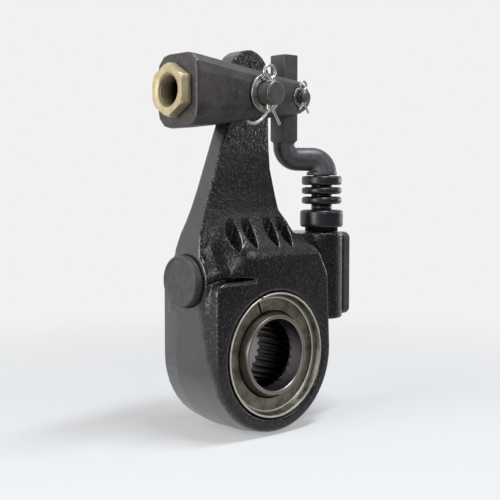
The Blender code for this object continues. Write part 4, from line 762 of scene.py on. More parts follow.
def grey_painted_steel():
    """Flat grey primer on pressed steel: dull, with a fine orange-peel and a few darker rubs."""
    made, tree, shader, place = new_material("grey_painted_steel", 0.5, 0.0)
    rub = add(tree, "ShaderNodeTexNoise", {"Scale": 1 / (4.0 * MM), "Detail": 6.0, "Roughness": 0.8}, {"Vector": place})
    worn = add(tree, "ShaderNodeMapRange", {1: 0.38, 2: 0.62}, {"Value": rub.outputs[0]})
    colour = add(
        tree, "ShaderNodeMix", {6: linear("#303030"), 7: linear("#454545")}, {0: worn.outputs[0]}, data_type="RGBA"
    )
    peel = add(tree, "ShaderNodeTexNoise", {"Scale": 1 / (1.2 * MM), "Detail": 2.0}, {"Vector": place})
    bump = add(tree, "ShaderNodeBump", {"Strength": 0.2, "Distance": 0.15 * MM}, {"Height": peel.outputs[0]})
    tree.links.new(colour.outputs[2], shader.inputs["Base Color"])
    tree.links.new(bump.outputs[0], shader.inputs["Normal"])
    return made


def cap_profile(angle):
    inner = TUBE_END - 0.3 * MM
    outer = inner - CAP_THICK
    edge = [
        (CAP_RADIUS - 2.1 * MM, outer + 0.6 * MM),
        (CAP_RADIUS - 1.5 * MM, outer),
        (CAP_RADIUS - 0.5 * MM, outer),
        (CAP_RADIUS, outer + 0.7 * MM),
        (CAP_RADIUS, inner),
        (13.0 * MM, inner),
        (13.0 * MM, TUBE_END + 6.0 * MM),
    ]
    dish = [(0.0, outer + 0.8 * MM), (CAP_RADIUS - 4 * MM, outer + 0.7 * MM)]
    return eased(dish + edge + [(0.0, TUBE_END + 6.0 * MM)], 0.3 * MM, 3)


grey_paint = grey_painted_steel()
cap_mesh = laid(lathe("worm_cap_pressed", cap_profile, 96), ALONG_X, (0, 0, WORM_Z))
fit("worm_cap_pressed", cap_mesh, grey_paint, "housing", "cover_paint", "worm_cap")


# Side cover and its screws
# A thick cast plate that closes the clutch on the right, bored for the shaft and held by four countersunk
# screws with hexagon sockets.

SCREW_RADIUS = 1.9 * MM
SCREW_HEAD = 3.5 * MM
SCREW_LENGTH = 8.8 * MM
SOCKET_FLATS = 2.6 * MM

cover_mesh = eased_copy("side_cover", "side_cover_cast", 0.35 * MM, 2, 0.4)
fit("side_cover_cast", cover_mesh, grey_paint, "housing", "cover_paint", "side_cover")

cover_low, cover_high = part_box("side_cover")
head_face = cover_high[0] - 0.1 * MM


def screw_profile(angle):
    slope = SCREW_HEAD - SCREW_RADIUS
    socket = SOCKET_FLATS / 2 / math.cos(angle % (math.pi / 3) - math.pi / 6)
    hollow = [(0.0, head_face - 1.3 * MM), (socket, head_face - 1.3 * MM), (socket, head_face - 0.1 * MM)]
    hollow += [(socket + 0.1 * MM, head_face)]
    outside = eased([(SCREW_HEAD - 0.3 * MM, head_face), (SCREW_HEAD, head_face - 0.2 * MM),
                     (SCREW_RADIUS, head_face - slope - 0.2 * MM)], 0.1 * MM, 2)
    outside += [(SCREW_RADIUS, head_face - SCREW_LENGTH + 0.4 * MM)]
    return hollow + outside + [(SCREW_RADIUS - 0.4 * MM, head_face - SCREW_LENGTH), (0.0, head_face - SCREW_LENGTH)]


def screw_pattern(screw, finish):
    """A node tree that sets the screw at the corners of the cover, an inset in from each edge."""
    tree = bpy.data.node_groups.new("screw pattern", "GeometryNodeTree")
    tree.interface.new_socket("Geometry", in_out="INPUT", socket_type="NodeSocketGeometry")
    for name in ("Across", "Up", "Height"):
        tree.interface.new_socket(name, in_out="INPUT", socket_type="NodeSocketFloat")
    tree.interface.new_socket("Geometry", in_out="OUTPUT", socket_type="NodeSocketGeometry")
    given = add(tree, "NodeGroupInput")
    grid = add(
        tree, "GeometryNodeMeshGrid", {"Vertices X": 2, "Vertices Y": 2},
        {"Size X": given.outputs["Up"], "Size Y": given.outputs["Across"]},
    )
    middle = add(tree, "ShaderNodeCombineXYZ", links={"Z": given.outputs["Height"]})
    # The grid lies flat, so it is stood up across X and raised to the cover's middle.
    stood = add(
        tree, "GeometryNodeTransform", {"Rotation": (0.0, math.pi / 2, 0.0)},
        {"Geometry": grid.outputs["Mesh"], "Translation": middle.outputs[0]},
    )
    source = add(tree, "GeometryNodeObjectInfo", {"Object": screw})
    placed = add(
        tree, "GeometryNodeInstanceOnPoints",
        links={"Points": stood.outputs[0], "Instance": source.outputs["Geometry"]},
    )
    real = add(tree, "GeometryNodeRealizeInstances", links={"Geometry": placed.outputs[0]})
    dressed = add(tree, "GeometryNodeSetMaterial", {"Material": finish}, {"Geometry": real.outputs[0]})
    add(tree, "NodeGroupOutput", links={"Geometry": dressed.outputs[0]})
    return tree


def grown(name, tree, **sizes):
    """The plain mesh that a node tree makes from its named sizes."""
    holder = bpy.data.objects.new(name + " pattern", bpy.data.meshes.new(name))
    bpy.context.collection.objects.link(holder)
    pattern = holder.modifiers.new("pattern", "NODES")
    pattern.node_group = tree
    for item in tree.interface.items_tree:
        if item.in_out == "INPUT" and item.name in sizes:
            pattern[item.identifier] = sizes[item.name]
    mesh = bpy.data.meshes.new_from_object(holder.evaluated_get(bpy.context.evaluated_depsgraph_get()))
    bpy.data.objects.remove(holder, do_unlink=True)
    return mesh


SCREW_INSET = 3.9 * MM
one_screw = bpy.data.objects.new("screw", laid(lathe("screw", screw_profile, 36), ALONG_X))
bpy.context.collection.objects.link(one_screw)
screws = grown(
    "cover_screws",
    screw_pattern(one_screw, gear_steel),
    Across=cover_high[1] - cover_low[1] - 2 * SCREW_INSET,
    Up=cover_high[2] - cover_low[2] - 2 * SCREW_INSET,
    Height=(cover_high[2] + cover_low[2]) / 2,
)
bpy.data.objects.remove(one_screw, do_unlink=True)
screw_nodes = [f"cover_screw_{number}" for number in range(1, 5)]
fit("cover_screws", screws, gear_steel, "housing", "gear_steel", *screw_nodes)


# Grease fitting
# A zinc-plated nipple screwed into the rear of the clutch block, with a hexagon, a neck and a rounded tip.

FITTING_FLATS = 8.0 * MM


def bright_zinc_plate():
    """Bright zinc plate: a pale metal with a soft sheen, faintly mottled and a little duller in patches."""
    made, tree, shader, place = new_material("bright_zinc_plate", 0.3, 1.0)
    spots = add(tree, "ShaderNodeTexNoise", {"Scale": 1 / (2.2 * MM), "Detail": 3.0, "Roughness": 0.5}, {"Vector": place})
    colour = add(
        tree, "ShaderNodeMix", {6: linear("#A9A9A3"), 7: linear("#D2D2CB")}, {0: spots.outputs[0]}, data_type="RGBA"
    )
    gloss = add(tree, "ShaderNodeMapRange", {1: 0.3, 2: 0.7, 3: 0.26, 4: 0.40}, {"Value": spots.outputs[0]})
    bump = add(tree, "ShaderNodeBump", {"Strength": 0.06, "Distance": 0.08 * MM}, {"Height": spots.outputs[0]})
    tree.links.new(colour.outputs[2], shader.inputs["Base Color"])
    tree.links.new(gloss.outputs[0], shader.inputs["Roughness"])
    tree.links.new(bump.outputs[0], shader.inputs["Normal"])
    return made


fitting_low, fitting_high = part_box("grease_fitting")
fitting_end = fitting_high[1]
fitting_seat = fitting_end - 9.6 * MM


def fitting_profile(angle):
    neck = 0.3 * FITTING_FLATS
    flats = FITTING_FLATS / 2 / math.cos(angle % (math.pi / 3) - math.pi / 6)
    low = [(0.0, fitting_seat - 5 * MM), (neck, fitting_seat - 5 * MM), (neck, fitting_seat)]
    hexagon = [
        (min(flats, 0.54 * FITTING_FLATS), fitting_seat),
        (flats, fitting_seat + 0.4 * MM),
        (flats, fitting_seat + 2.8 * MM),
        (min(flats, 0.53 * FITTING_FLATS), fitting_seat + 3.2 * MM),
    ]
    tip = [(neck, 3.2), (neck, 4.5), (0.26 * FITTING_FLATS, 6.0), (0.40 * FITTING_FLATS, 7.2)]
    tip += [(0.36 * FITTING_FLATS, 8.6), (0.18 * FITTING_FLATS, 9.6), (0.0, 9.6)]
    return low + hexagon + eased([(radius, fitting_seat + rise * MM) for radius, rise in tip], 0.4 * MM, 3)


zinc = bright_zinc_plate()
fitting_centre = [(a + b) / 2 for a, b in zip(fitting_low, fitting_high)]
fitting_mesh = laid(
    lathe("grease_nipple", fitting_profile, 72), TO_REAR, (fitting_centre[0], 0, fitting_centre[2])
)
fit("grease_nipple", fitting_mesh, zinc, "housing", "bright_zinc", "grease_fitting")


# Rubber boot
# Moulded bellows over the rack: a collar that grips the link, two thin folds and a deep cuff that snaps over
# the boss.

RACK_X = 47.3 * MM
RACK_Y = -10.0 * MM
BOOT_RING_RADIUS = 11.4 * MM
BOOT_CUFF_RADIUS = 12.3 * MM
BOOT_NECK_RADIUS = 5.9 * MM
BOOT_FOOT_RADIUS = 9.4 * MM
boot_low, boot_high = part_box("boot")


def boot_profile(angle):
    low, top = boot_low[2], boot_high[2]
    length = top - low
    cuff_low, cuff_high = low + 0.082 * length, low + 0.388 * length
    outside = [(BOOT_FOOT_RADIUS, low), (BOOT_FOOT_RADIUS, cuff_low)]
    outside += eased([
        (BOOT_FOOT_RADIUS, cuff_low), (BOOT_CUFF_RADIUS, cuff_low), (BOOT_CUFF_RADIUS, cuff_high),
        (BOOT_NECK_RADIUS, cuff_high),
    ], 2.0 * MM, 6)[1:]
    for start, end, roundness in ((0.495, 0.628, 2.1), (0.672, 0.798, 2.1), (0.836, 1.0, 1.5)):
        foot, head = low + start * length, low + end * length
        outside += eased([
            (BOOT_NECK_RADIUS, foot), (BOOT_RING_RADIUS, foot), (BOOT_RING_RADIUS, head), (BOOT_NECK_RADIUS, head),
        ], roundness * MM, 6)
    inside = [(5.0 * MM, top), (5.0 * MM, low + 0.325 * length), (7.0 * MM, low + 0.288 * length), (7.0 * MM, low)]
    return outside + inside


boot_mesh = laid(lathe("boot_moulding", boot_profile, 96), Matrix.Identity(4), (RACK_X, RACK_Y, 0))
boot = fit("boot_moulding", boot_mesh, rubber, None, "rubber", "boot")
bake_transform(boot)


# Link
# A forged steel link: a square head slotted for the link pin, an S-bend and a round foot on the boot.


def blackened_link_steel():
    """Drop-forged and blackened steel: a dark grey skin, scaled and a little uneven, with a satin sheen."""
    made, tree, shader, place = new_material("blackened_link_steel", 0.45, 0.7)
    scale = add(tree, "ShaderNodeTexNoise", {"Scale": 1 / (3.5 * MM), "Detail": 5.0, "Roughness": 0.7}, {"Vector": place})
    colour = add(
        tree, "ShaderNodeMix", {6: linear("#363637"), 7: linear("#676768")}, {0: scale.outputs[0]}, data_type="RGBA"
    )
    gloss = add(tree, "ShaderNodeMapRange", {1: 0.3, 2: 0.7, 3: 0.36, 4: 0.55}, {"Value": scale.outputs[0]})
    fine = add(tree, "ShaderNodeTexNoise", {"Scale": 1 / (1.0 * MM), "Detail": 3.0}, {"Vector": place})
    bump = add(tree, "ShaderNodeBump", {"Strength": 0.3, "Distance": 0.15 * MM}, {"Height": fine.outputs[0]})
    tree.links.new(colour.outputs[2], shader.inputs["Base Color"])
    tree.links.new(gloss.outputs[0], shader.inputs["Roughness"])
    tree.links.new(bump.outputs[0], shader.inputs["Normal"])
    return made


def link_section(half_x, half_y, corner):
    """A section of the bar: a rectangle with rounded corners, or a circle where the corner takes all of it."""
    points = []
    for quarter in range(4):
        turn = quarter * math.pi / 2
        across, up = (half_x, half_y) if quarter % 2 == 0 else (half_y, half_x)
        for step in range(9):
            angle = step / 8 * math.pi / 2
            u = across - corner + corner * math.cos(angle)
            v = up - corner + corner * math.sin(angle)
            points.append((u * math.cos(turn) - v * math.sin(turn), u * math.sin(turn) + v * math.cos(turn)))
    return points


def link_bar():
    """The link from its square head down its two bends to the spigot in the rack."""
    foot = Vector((RACK_X, RACK_Y, 0)) - Vector((LINK_PIN_X, 0, 0))
    reach, heading = foot.length, math.atan2(foot.y, foot.x)
    link_low, link_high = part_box("link_rod")
    top, spigot_end = link_high[2], link_low[2]
    stem_end = spigot_end + SPIGOT_LENGTH
    level = ARM_LENGTH - LINK_RUN_DROP
    square_end = ARM_LENGTH - LINK_SQUARE_DROP
    # Place along the bar's plane, height, lean of the bar, turn of the section, half sizes and corner.
    stops = [(0, top, 0, 0, LINK_HALF_X - 0.5 * MM, LINK_HALF_Y - 0.5 * MM, 0.5 * MM)]
    for drop in (0.12, 0.5):
        stops.append((0, top - drop * MM, 0, 0, LINK_HALF_X - (0.5 - drop) * 0.5 * MM, LINK_HALF_Y - (0.5 - drop) * 0.5 * MM, 0.6 * MM))
    for share in range(9):
        height = top - 1 * MM + share / 8 * (square_end + 0.8 * MM - top + 1 * MM)
        stops.append((0, height, 0, 0, LINK_HALF_X, LINK_HALF_Y, 0.6 * MM))
    stops.append((0, square_end, 0, 0, LINK_HALF_X, LINK_HALF_Y, 0.8 * MM))
    stops.append((0, square_end - 0.9 * MM, 0, 0.1, 5.7 * MM, 6.0 * MM, 4.6 * MM))
    stops.append((0, square_end - 1.8 * MM, 0, 0.25, 6.0 * MM, 6.05 * MM, 5.99 * MM))
    bend, low_bend = 7.6 * MM, 7.2 * MM
    for step in range(13):
        lean = step / 12 * math.pi / 2
        radius = (6.05 + 0.5 * step / 12) * MM
        along, height = bend * (1 - math.cos(lean)), level + bend * (1 - math.sin(lean))
        stops.append((along, height, lean, min(1.0, 0.3 + step / 12), radius, radius, radius))
    for step in range(13):
        lean = (12 - step) / 12 * math.pi / 2
        radius = (6.6 + 1.9 * step / 12) * MM
        along, height = reach - low_bend * (1 - math.cos(lean)), level - low_bend * (1 - math.sin(lean))
        stops.append((along, height, lean, 1.0, radius, radius, radius))
    boot_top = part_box("boot")[1][2]
    for height, radius in (
        (boot_top + 0.9 * MM, 8.7), (boot_top + 0.3 * MM, 8.5), (boot_top + 0.28 * MM, 4.6), (stem_end, 4.6),
        (stem_end - 0.02 * MM, 3.2), (spigot_end, 3.2),
    ):
        stops.append((reach, height, 0, 1.0, radius * MM, radius * MM, radius * MM))
    rings = []
    for along, height, lean, turn, half_x, half_y, corner in stops:
        frame_turn = heading * turn
        centre = Vector((LINK_PIN_X + along * math.cos(heading), along * math.sin(heading), height))
        # The section lies across the bar, which leans over in the plane of its two bends.
        tilt = Matrix.Rotation(heading, 4, "Z") @ Matrix.Rotation(-lean, 4, "Y") @ Matrix.Rotation(-heading, 4, "Z")
        ring = [Vector((u, v, 0)) for u, v in link_section(half_x, half_y, min(corner, half_x, half_y) - 1e-7)]
        rings.append([centre + tilt @ Matrix.Rotation(frame_turn, 4, "Z") @ point for point in ring])
    bm = bmesh.new()
    loft(bm, rings)
    return to_mesh(bm, "link_forging")


def link_holes():
    """The slot for the link pin and the cross hole for the rack's pin."""
    bm = bmesh.new()
    slot = []
    for centre, start in ((1.2, -90), (-1.2, 90)):
        for step in range(17):
            angle = math.radians(start + step / 16 * 180)
            slot.append((LINK_PIN_X + centre * MM + 3.475 * MM * math.cos(angle), ARM_LENGTH + 3.475 * MM * math.sin(angle)))
    loft(bm, [[(x, -12 * MM, z) for x, z in slot], [(x, 12 * MM, z) for x, z in slot]])
    pin_low, pin_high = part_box("rack_pin")
    height = (pin_low[2] + pin_high[2]) / 2
    hole = [(1.45 * MM * math.cos(a * math.pi / 8), 1.45 * MM * math.sin(a * math.pi / 8)) for a in range(16)]
    loft(bm, [[(x, RACK_Y + y, height + z) for y, z in hole] for x in (RACK_X - 9 * MM, RACK_X + 9 * MM)])
    return to_mesh(bm, "link_holes")


LINK_HALF_X = 5.05 * MM
LINK_HALF_Y = 6.0 * MM
LINK_RUN_DROP = 34.0 * MM
LINK_SQUARE_DROP = 23.7 * MM
SPIGOT_LENGTH = 5.6 * MM
LINK_PIN_X = 26.8 * MM
ARM_LENGTH = 139.7 * MM
link_mesh = carved(link_bar(), link_holes())
link_mesh.shade_smooth()
link_mesh.set_sharp_from_angle(angle=math.radians(32))
fit("link_forging", link_mesh, blackened_link_steel(), "link", "link_steel", "link_rod")


# Clevis
# A drop forging, tapered from the push rod's end to a fork over the arm, its faces blackened and oiled.


def oiled_forged_steel():
    """Forged steel, blackened and oiled: a mottled skin of brown, purple and grey-black scale, with pale
    freckles where it has flaked."""
    made, tree, shader, place = new_material("oiled_forged_steel", 0.45, 0.2)
    scale = add(tree, "ShaderNodeTexNoise", {"Scale": 1 / (9.0 * MM), "Detail": 6.0, "Roughness": 0.75}, {"Vector": place})
    tint = add(tree, "ShaderNodeTexNoise", {"Scale": 1 / (4.0 * MM), "Detail": 4.0}, {"Vector": place})
    dark = add(tree, "ShaderNodeMapRange", {1: 0.36, 2: 0.62}, {"Value": scale.outputs[0]})
    warm = add(tree, "ShaderNodeMapRange", {1: 0.42, 2: 0.58}, {"Value": tint.outputs[0]})
    skin = add(
        tree, "ShaderNodeMix", {6: linear("#474447"), 7: linear("#504842")}, {0: warm.outputs[0]}, data_type="RGBA"
    )
    mottled = add(
        tree, "ShaderNodeMix", {6: linear("#302C2B")}, {0: dark.outputs[0], 7: skin.outputs[2]}, data_type="RGBA"
    )
    freckle = add(tree, "ShaderNodeTexNoise", {"Scale": 1 / (1.3 * MM), "Detail": 3.0}, {"Vector": place})
    flake = add(tree, "ShaderNodeMapRange", {1: 0.64, 2: 0.74}, {"Value": freckle.outputs[0]})
    colour = add(
        tree, "ShaderNodeMix", {7: linear("#6C6763")}, {0: flake.outputs[0], 6: mottled.outputs[2]}, data_type="RGBA"
    )
    gloss = add(tree, "ShaderNodeMapRange", {1: 0.3, 2: 0.7, 3: 0.32, 4: 0.55}, {"Value": scale.outputs[0]})
    bump = add(tree, "ShaderNodeBump", {"Strength": 0.45, "Distance": 0.25 * MM}, {"Height": freckle.outputs[0]})
    tree.links.new(colour.outputs[2], shader.inputs["Base Color"])
    tree.links.new(gloss.outputs[0], shader.inputs["Roughness"])
    tree.links.new(bump.outputs[0], shader.inputs["Normal"])
    return made


forged = oiled_forged_steel()
clevis_mesh = eased_copy("clevis", "clevis_forging", 0.4 * MM, 5, 0.4)
fit("clevis_forging", clevis_mesh, forged, "clevis", "forged_clevis", "clevis")


# Threaded collar
# A hexagonal steel collar, threaded for the push rod and pressed into the clevis. It is zinc plated and
# passivated yellow.

COLLAR_FLATS = 24.2 * MM
COLLAR_BORE = 7.4 * MM
COLLAR_SHANK = 11.0 * MM
COLLAR_CHAMFER = 0.9 * MM
THREAD_PITCH = 1.5 * MM
THREAD_DEPTH = 0.85 * MM
THREAD_TURNS = 9
THREAD_STEPS = 8
collar_low, collar_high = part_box("clevis_collar")
collar_face = collar_low[0]
collar_seat = collar_face + 6.2 * MM


def yellow_passivated_zinc():
    """Zinc plate with a yellow passivation: a satin, straw-coloured metal, greener and pinker in patches. The
    thread inside is painted darker the deeper it lies in the bore: painted shade."""
    made, tree, shader, place = new_material("yellow_passivated_zinc", 0.4, 1.0)
    tint = add(tree, "ShaderNodeTexNoise", {"Scale": 1 / (5.0 * MM), "Detail": 3.0}, {"Vector": place})
    spots = add(tree, "ShaderNodeTexNoise", {"Scale": 1 / (1.3 * MM), "Detail": 3.0}, {"Vector": place})
    patch = add(tree, "ShaderNodeMapRange", {1: 0.35, 2: 0.65}, {"Value": tint.outputs[0]})
    plated = add(
        tree, "ShaderNodeMix", {6: linear("#B6A583"), 7: linear("#C0B894")}, {0: patch.outputs[0]}, data_type="RGBA"
    )
    # Distance from the bore's axis, which lies along X at the arm's length.
    centred = add(tree, "ShaderNodeMapping", {"Location": (0.0, 0.0, -ARM_LENGTH), "Scale": (0.0, 1.0, 1.0)}, {"Vector": place})
    radius = add(tree, "ShaderNodeVectorMath", links={0: centred.outputs[0]}, operation="LENGTH")
    bare = add(
        tree, "ShaderNodeMapRange", {1: COLLAR_BORE + 0.9 * MM, 2: COLLAR_BORE + 1.4 * MM},
        {"Value": radius.outputs["Value"]},
    )
    along = add(tree, "ShaderNodeSeparateXYZ", links={"Vector": place})
    # The thread is painted from pale at the mouth to near black deep in the bore: painted shade.
    painted_depth_shade = add(
        tree, "ShaderNodeMapRange", {1: collar_face + 2.0 * MM, 2: collar_face + 10.0 * MM},
        {"Value": along.outputs["X"]},
    )
    thread = add(
        tree, "ShaderNodeMix", {6: linear("#8B7F66"), 7: linear("#120F0B")}, {0: painted_depth_shade.outputs[0]}, data_type="RGBA"
    )
    colour = add(
        tree, "ShaderNodeMix", links={0: bare.outputs[0], 6: thread.outputs[2], 7: plated.outputs[2]},
        data_type="RGBA",
    )
    gloss = add(tree, "ShaderNodeMapRange", {1: 0.3, 2: 0.7, 3: 0.42, 4: 0.56}, {"Value": spots.outputs[0]})
    bump = add(tree, "ShaderNodeBump", {"Strength": 0.08, "Distance": 0.08 * MM}, {"Height": spots.outputs[0]})
    tree.links.new(colour.outputs[2], shader.inputs["Base Color"])
    tree.links.new(gloss.outputs[0], shader.inputs["Roughness"])
    tree.links.new(bump.outputs[0], shader.inputs["Normal"])
    return made


def collar_profile(angle):
    flats = COLLAR_FLATS / 2 / math.cos(angle % (math.pi / 3) - math.pi / 6)
    corner = COLLAR_FLATS / math.sqrt(3) - 0.25 * MM
    flats = min(flats, corner)
    shank_end = collar_high[0]
    mouth = collar_face + 1.0 * MM
    points = [(COLLAR_BORE + 1.6 * MM, collar_face + 0.1 * MM), (COLLAR_BORE + 2.0 * MM, collar_face)]
    face = corner - COLLAR_CHAMFER
    for share in (0.0, 0.25, 0.5, 0.75, 1.0):
        points.append((min(flats, face + share * COLLAR_CHAMFER), collar_face + share * 1.2 * MM))
    points += [(flats, collar_seat - 0.3 * MM), (flats - 0.3 * MM, collar_seat), (COLLAR_SHANK, collar_seat)]
    points += [(COLLAR_SHANK, shank_end - 0.4 * MM), (COLLAR_SHANK - 0.4 * MM, shank_end), (COLLAR_BORE, shank_end)]
    rows = THREAD_TURNS * THREAD_STEPS
    for row in range(rows, -1, -1):
        depth = mouth + row * THREAD_PITCH / THREAD_STEPS
        wave = abs(((row / THREAD_STEPS - angle / (2 * math.pi)) % 1.0) * 2 - 1)
        points.append((COLLAR_BORE + THREAD_DEPTH * wave, depth))
    return points


yellow_zinc = yellow_passivated_zinc()
collar_mesh = laid(lathe("push_rod_collar", collar_profile, 180), ALONG_X, (0, 0, ARM_LENGTH))
collar_mesh.set_sharp_from_angle(angle=math.radians(22))
fit("push_rod_collar", collar_mesh, yellow_zinc, "clevis", "yellow_zinc", "clevis_collar")


# Pins and washers
# Turned steel pins with a head at the rear. Each carries a zinc-plated washer and a split pin at the front.

PIN_X = -3.5 * MM


def turned_pin_steel():
    """Turned and hardened pin steel: a blue-grey metal with the lathe's fine rings on its end."""
    made, tree, shader, place = new_material("turned_pin_steel", 0.38, 0.7)
    heat = add(tree, "ShaderNodeTexNoise", {"Scale": 1 / (4.0 * MM), "Detail": 4.0, "Roughness": 0.6}, {"Vector": place})
    colour = add(
        tree, "ShaderNodeMix", {6: linear("#4A4A4B"), 7: linear("#6A6A69")}, {0: heat.outputs[0]}, data_type="RGBA"
    )
    gloss = add(tree, "ShaderNodeMapRange", {1: 0.3, 2: 0.7, 3: 0.36, 4: 0.52}, {"Value": heat.outputs[0]})
    fine = add(tree, "ShaderNodeTexNoise", {"Scale": 1 / (0.9 * MM), "Detail": 2.0}, {"Vector": place})
    bump = add(tree, "ShaderNodeBump", {"Strength": 0.2, "Distance": 0.1 * MM}, {"Height": fine.outputs[0]})
    tree.links.new(colour.outputs[2], shader.inputs["Base Color"])
    tree.links.new(gloss.outputs[0], shader.inputs["Roughness"])
    tree.links.new(bump.outputs[0], shader.inputs["Normal"])
    return made


pin_steel = turned_pin_steel()
for name, x, radius, head, head_thick, hole in (
    ("clevis", PIN_X, 6.35 * MM, 9.2 * MM, 4.2 * MM, 2.4 * MM),
    ("link", LINK_PIN_X, 3.175 * MM, 5.0 * MM, 2.4 * MM, 1.7 * MM),
):
    pin_low, pin_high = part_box(f"{name}_pin")
    washer_low, washer_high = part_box(f"{name}_washer")
    end, rear = -pin_low[1], -pin_high[1]

    def pin_profile(angle):
        section = [(0.0, rear), (head, rear), (head, rear + head_thick), (radius, rear + head_thick)]
        section += [(radius, end - 0.9 * MM), (radius - 0.9 * MM, end), (0.0, end)]
        return eased(section, 0.35 * MM, 3)

    pin_mesh = laid(lathe(f"{name}_pin_turned", pin_profile, 72), TO_FRONT, (x, 0, ARM_LENGTH))
    fit(f"{name}_pin_turned", pin_mesh, pin_steel, "clevis", "pin_steel", f"{name}_pin")

    inner = radius + 0.3 * MM
    outer = (washer_high[0] - washer_low[0]) / 2

    def washer_profile(angle):
        near, far = -washer_low[1], -washer_high[1]
        section = [(inner, far), (outer, far), (outer, near), (inner, near)]
        return eased(section, 0.3 * MM, 4, closed=True)

    washer_mesh = laid(lathe(f"{name}_washer_plated", washer_profile, 96), TO_FRONT, (x, 0, ARM_LENGTH))
    fit(f"{name}_washer_plated", washer_mesh, zinc, "clevis", "bright_zinc", f"{name}_washer")


# Split pins
# Each is half-round zinc-plated wire, folded to an eye, put through the pin and bent open below it.


def wire_along(name, route, radius, sides=10):
    """A round wire along a smooth curve through these points, which lie in one upright plane."""
    curve = bpy.data.curves.new(name, "CURVE")
    curve.dimensions = "3D"
    curve.bevel_depth = radius
    curve.bevel_resolution = sides // 2 - 1
    curve.use_fill_caps = True
    spline = curve.splines.new("POLY")
    spline.points.add(len(route) - 1)
    for point, place in zip(spline.points, route):
        point.co = (*place, 1.0)
    holder = bpy.data.objects.new(name, curve)
    bpy.context.collection.objects.link(holder)
    mesh = bpy.data.meshes.new_from_object(holder.evaluated_get(bpy.context.evaluated_depsgraph_get()))
    bpy.data.objects.remove(holder, do_unlink=True)
    mesh.shade_smooth()
    return mesh


def smooth_path(points, steps=8):
    """Points on a smooth curve through the given ones."""
    ends = [points[0]] + points + [points[-1]]
    path = []
    for a, b, c, d in zip(ends, ends[1:], ends[2:], ends[3:]):
        for step in range(steps):
            t = step / steps
            path.append(tuple(
                0.5 * (2 * q + (r - p) * t + (2 * p - 5 * q + 4 * r - s) * t**2 + (3 * q - p - 3 * r + s) * t**3)
                for p, q, r, s in zip(a, b, c, d)
            ))
    return path + [points[-1]]


for name, x, radius, wire, left, right in (
    ("clevis", PIN_X, 6.35 * MM, 0.95 * MM, [(-1.6, -9.6), (-6.5, -14.4), (-11.5, -16.3), (-16.5, -15.2)],
     [(2.2, -8.6), (4.6, -12.0), (7.2, -16.2)]),
    ("link", LINK_PIN_X, 3.175 * MM, 0.6 * MM, [(-1.0, -4.6), (-1.9, -5.9), (-2.8, -7.0)],
     [(1.3, -4.6), (2.7, -6.6), (4.2, -8.6)]),
):
    cotter_low, cotter_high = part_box(f"{name}_cotter")
    y = (cotter_low[1] + cotter_high[1]) / 2
    top = cotter_high[2] - ARM_LENGTH - wire
    gap = wire + 0.1 * MM
    eye_low = radius + 0.5 * MM
    eye = (top - eye_low) / 2
    route = [(a * MM, b * MM) for a, b in reversed(left)]
    route += [(-gap, -radius), (-gap, 0.0), (-gap, eye_low)]
    route += [(-0.80 * eye, eye_low + 0.55 * eye), (-0.98 * eye, eye_low + 1.1 * eye), (-0.62 * eye, top - 0.22 * eye)]
    route += [(0.0, top), (0.62 * eye, top - 0.22 * eye), (0.98 * eye, eye_low + 1.1 * eye)]
    route += [(0.80 * eye, eye_low + 0.55 * eye), (gap, eye_low), (gap, 0.0), (gap, -radius)]
    route += [(a * MM, b * MM) for a, b in right]
    places = [(x + a, y, ARM_LENGTH + b) for a, b in smooth_path(route)]
    cotter_mesh = wire_along(f"{name}_cotter_bent", places, wire)
    fit(f"{name}_cotter_bent", cotter_mesh, zinc, "clevis", "bright_zinc", f"{name}_cotter")


# Studio
# A pale floor that fades into the pale room, a soft lamp on the left, one above and a faint one on the right.

FLOOR_REACH = 3.0
PALE = "#F1F1F1"

floor_mesh = bpy.data.meshes.new("floor")
floor_z = cad_low[2] - 0.05 * MM
corners = [(-FLOOR_REACH, -FLOOR_REACH), (FLOOR_REACH, -FLOOR_REACH), (FLOOR_REACH, FLOOR_REACH), (-FLOOR_REACH, FLOOR_REACH)]
floor_mesh.from_pydata([(x, y, floor_z) for x, y in corners], [], [(0, 1, 2, 3)])
floor = bpy.data.objects.new("floor", floor_mesh)
bpy.context.collection.objects.link(floor)


def pale_floor():
    """White card that fades into the room's own paleness away from the object."""
    made, tree, shader, place = new_material("pale_floor", 0.9, 0.0)
    shader.inputs["Base Color"].default_value = linear("#E9E9E8")
    shader.inputs["Specular IOR Level"].default_value = 0.0
    far = add(tree, "ShaderNodeVectorMath", links={0: place}, operation="LENGTH")
    fade = add(
        tree, "ShaderNodeMapRange", {1: 0.10, 2: 0.50, 3: 0.35}, {"Value": far.outputs["Value"]},
        interpolation_type="SMOOTHSTEP",
    )
    clear = add(tree, "ShaderNodeBsdfTransparent")
    mixed = add(tree, "ShaderNodeMixShader", links={0: fade.outputs[0], 1: shader.outputs[0], 2: clear.outputs[0]})
    tree.links.new(mixed.outputs[0], tree.nodes["Material Output"].inputs["Surface"])
    return made


floor_mesh.materials.append(pale_floor())

world = bpy.data.worlds.new("room")
bpy.context.scene.world = world
world.use_nodes = True
tree = world.node_tree
seen = tree.nodes["Background"]
seen.inputs["Color"].default_value = linear(PALE)
lit = add(tree, "ShaderNodeBackground", {"Color": linear("#F2F5FA"), "Strength": 0.25})
path = add(tree, "ShaderNodeLightPath")
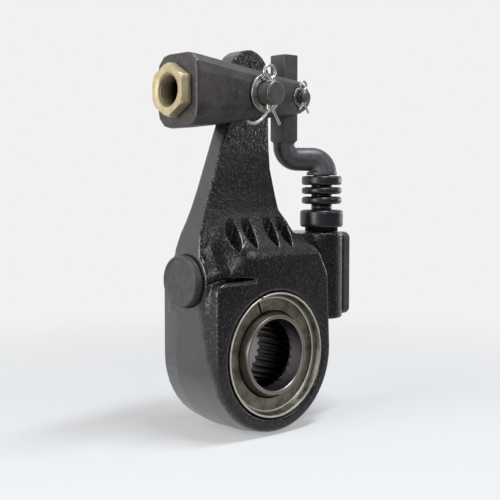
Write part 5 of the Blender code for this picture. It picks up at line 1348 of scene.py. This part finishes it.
# Polished and painted faces mirror a room that is dimmer in front, where the camera stands.
around = add(tree, "ShaderNodeSeparateXYZ", links={"Vector": add(tree, "ShaderNodeTexCoord").outputs["Generated"]})
dim = add(tree, "ShaderNodeMapRange", {1: -0.75, 2: -0.15, 3: 0.2, 4: 1.0}, {"Value": around.outputs["Y"]})
shown = add(
    tree, "ShaderNodeMath", links={0: path.outputs["Is Camera Ray"], 1: path.outputs["Is Transmission Ray"]},
    operation="MAXIMUM",
)
level = add(tree, "ShaderNodeMath", links={0: shown.outputs[0], 1: dim.outputs[0]}, operation="MAXIMUM")
tree.links.new(level.outputs[0], seen.inputs["Strength"])
mirrored = add(
    tree, "ShaderNodeMath", links={0: path.outputs["Is Camera Ray"], 1: path.outputs["Is Glossy Ray"]},
    operation="MAXIMUM",
)
open_ray = add(
    tree, "ShaderNodeMath", links={0: mirrored.outputs[0], 1: path.outputs["Is Transmission Ray"]},
    operation="MAXIMUM",
)
chosen = add(tree, "ShaderNodeMixShader", links={0: open_ray.outputs[0], 1: lit.outputs[0], 2: seen.outputs[0]})
tree.links.new(chosen.outputs[0], tree.nodes["World Output"].inputs["Surface"])

# A broad lamp greys the left sides, and a strip above glints on the slope and the boot. Three small ones
# pick out the grain and the edges.
for name, place, width, height, power, colour in (
    ("left lamp", (-0.95, 0.05, 0.25), 0.60, 0.60, 7.5, "#FFFFFF"),
    ("top lamp", (0.06, -0.25, 0.90), 0.50, 0.10, 6.2, "#EDF4FF"),
    ("front left lamp", (-0.45, -0.85, 0.40), 0.14, 0.14, 1.0, "#FFFFFF"),
    ("front right lamp", (0.45, -0.80, 0.50), 0.26, 0.26, 1.3, "#F4F8FF"),
    ("right lamp", (0.90, -0.10, 0.15), 0.16, 0.16, 0.7, "#FFFFFF"),
):
    lamp = bpy.data.lights.new(name, "AREA")
    lamp.shape = "RECTANGLE"
    lamp.size = width
    lamp.size_y = height
    lamp.energy = power
    lamp.color = linear(colour)[:3]
    hung = bpy.data.objects.new(name, lamp)
    hung.location = place
    hung.rotation_euler = (Vector((0, 0, 0.05)) - Vector(place)).to_track_quat("-Z", "Y").to_euler()
    bpy.context.collection.objects.link(hung)

bpy.context.scene.view_settings.view_transform = "Standard"
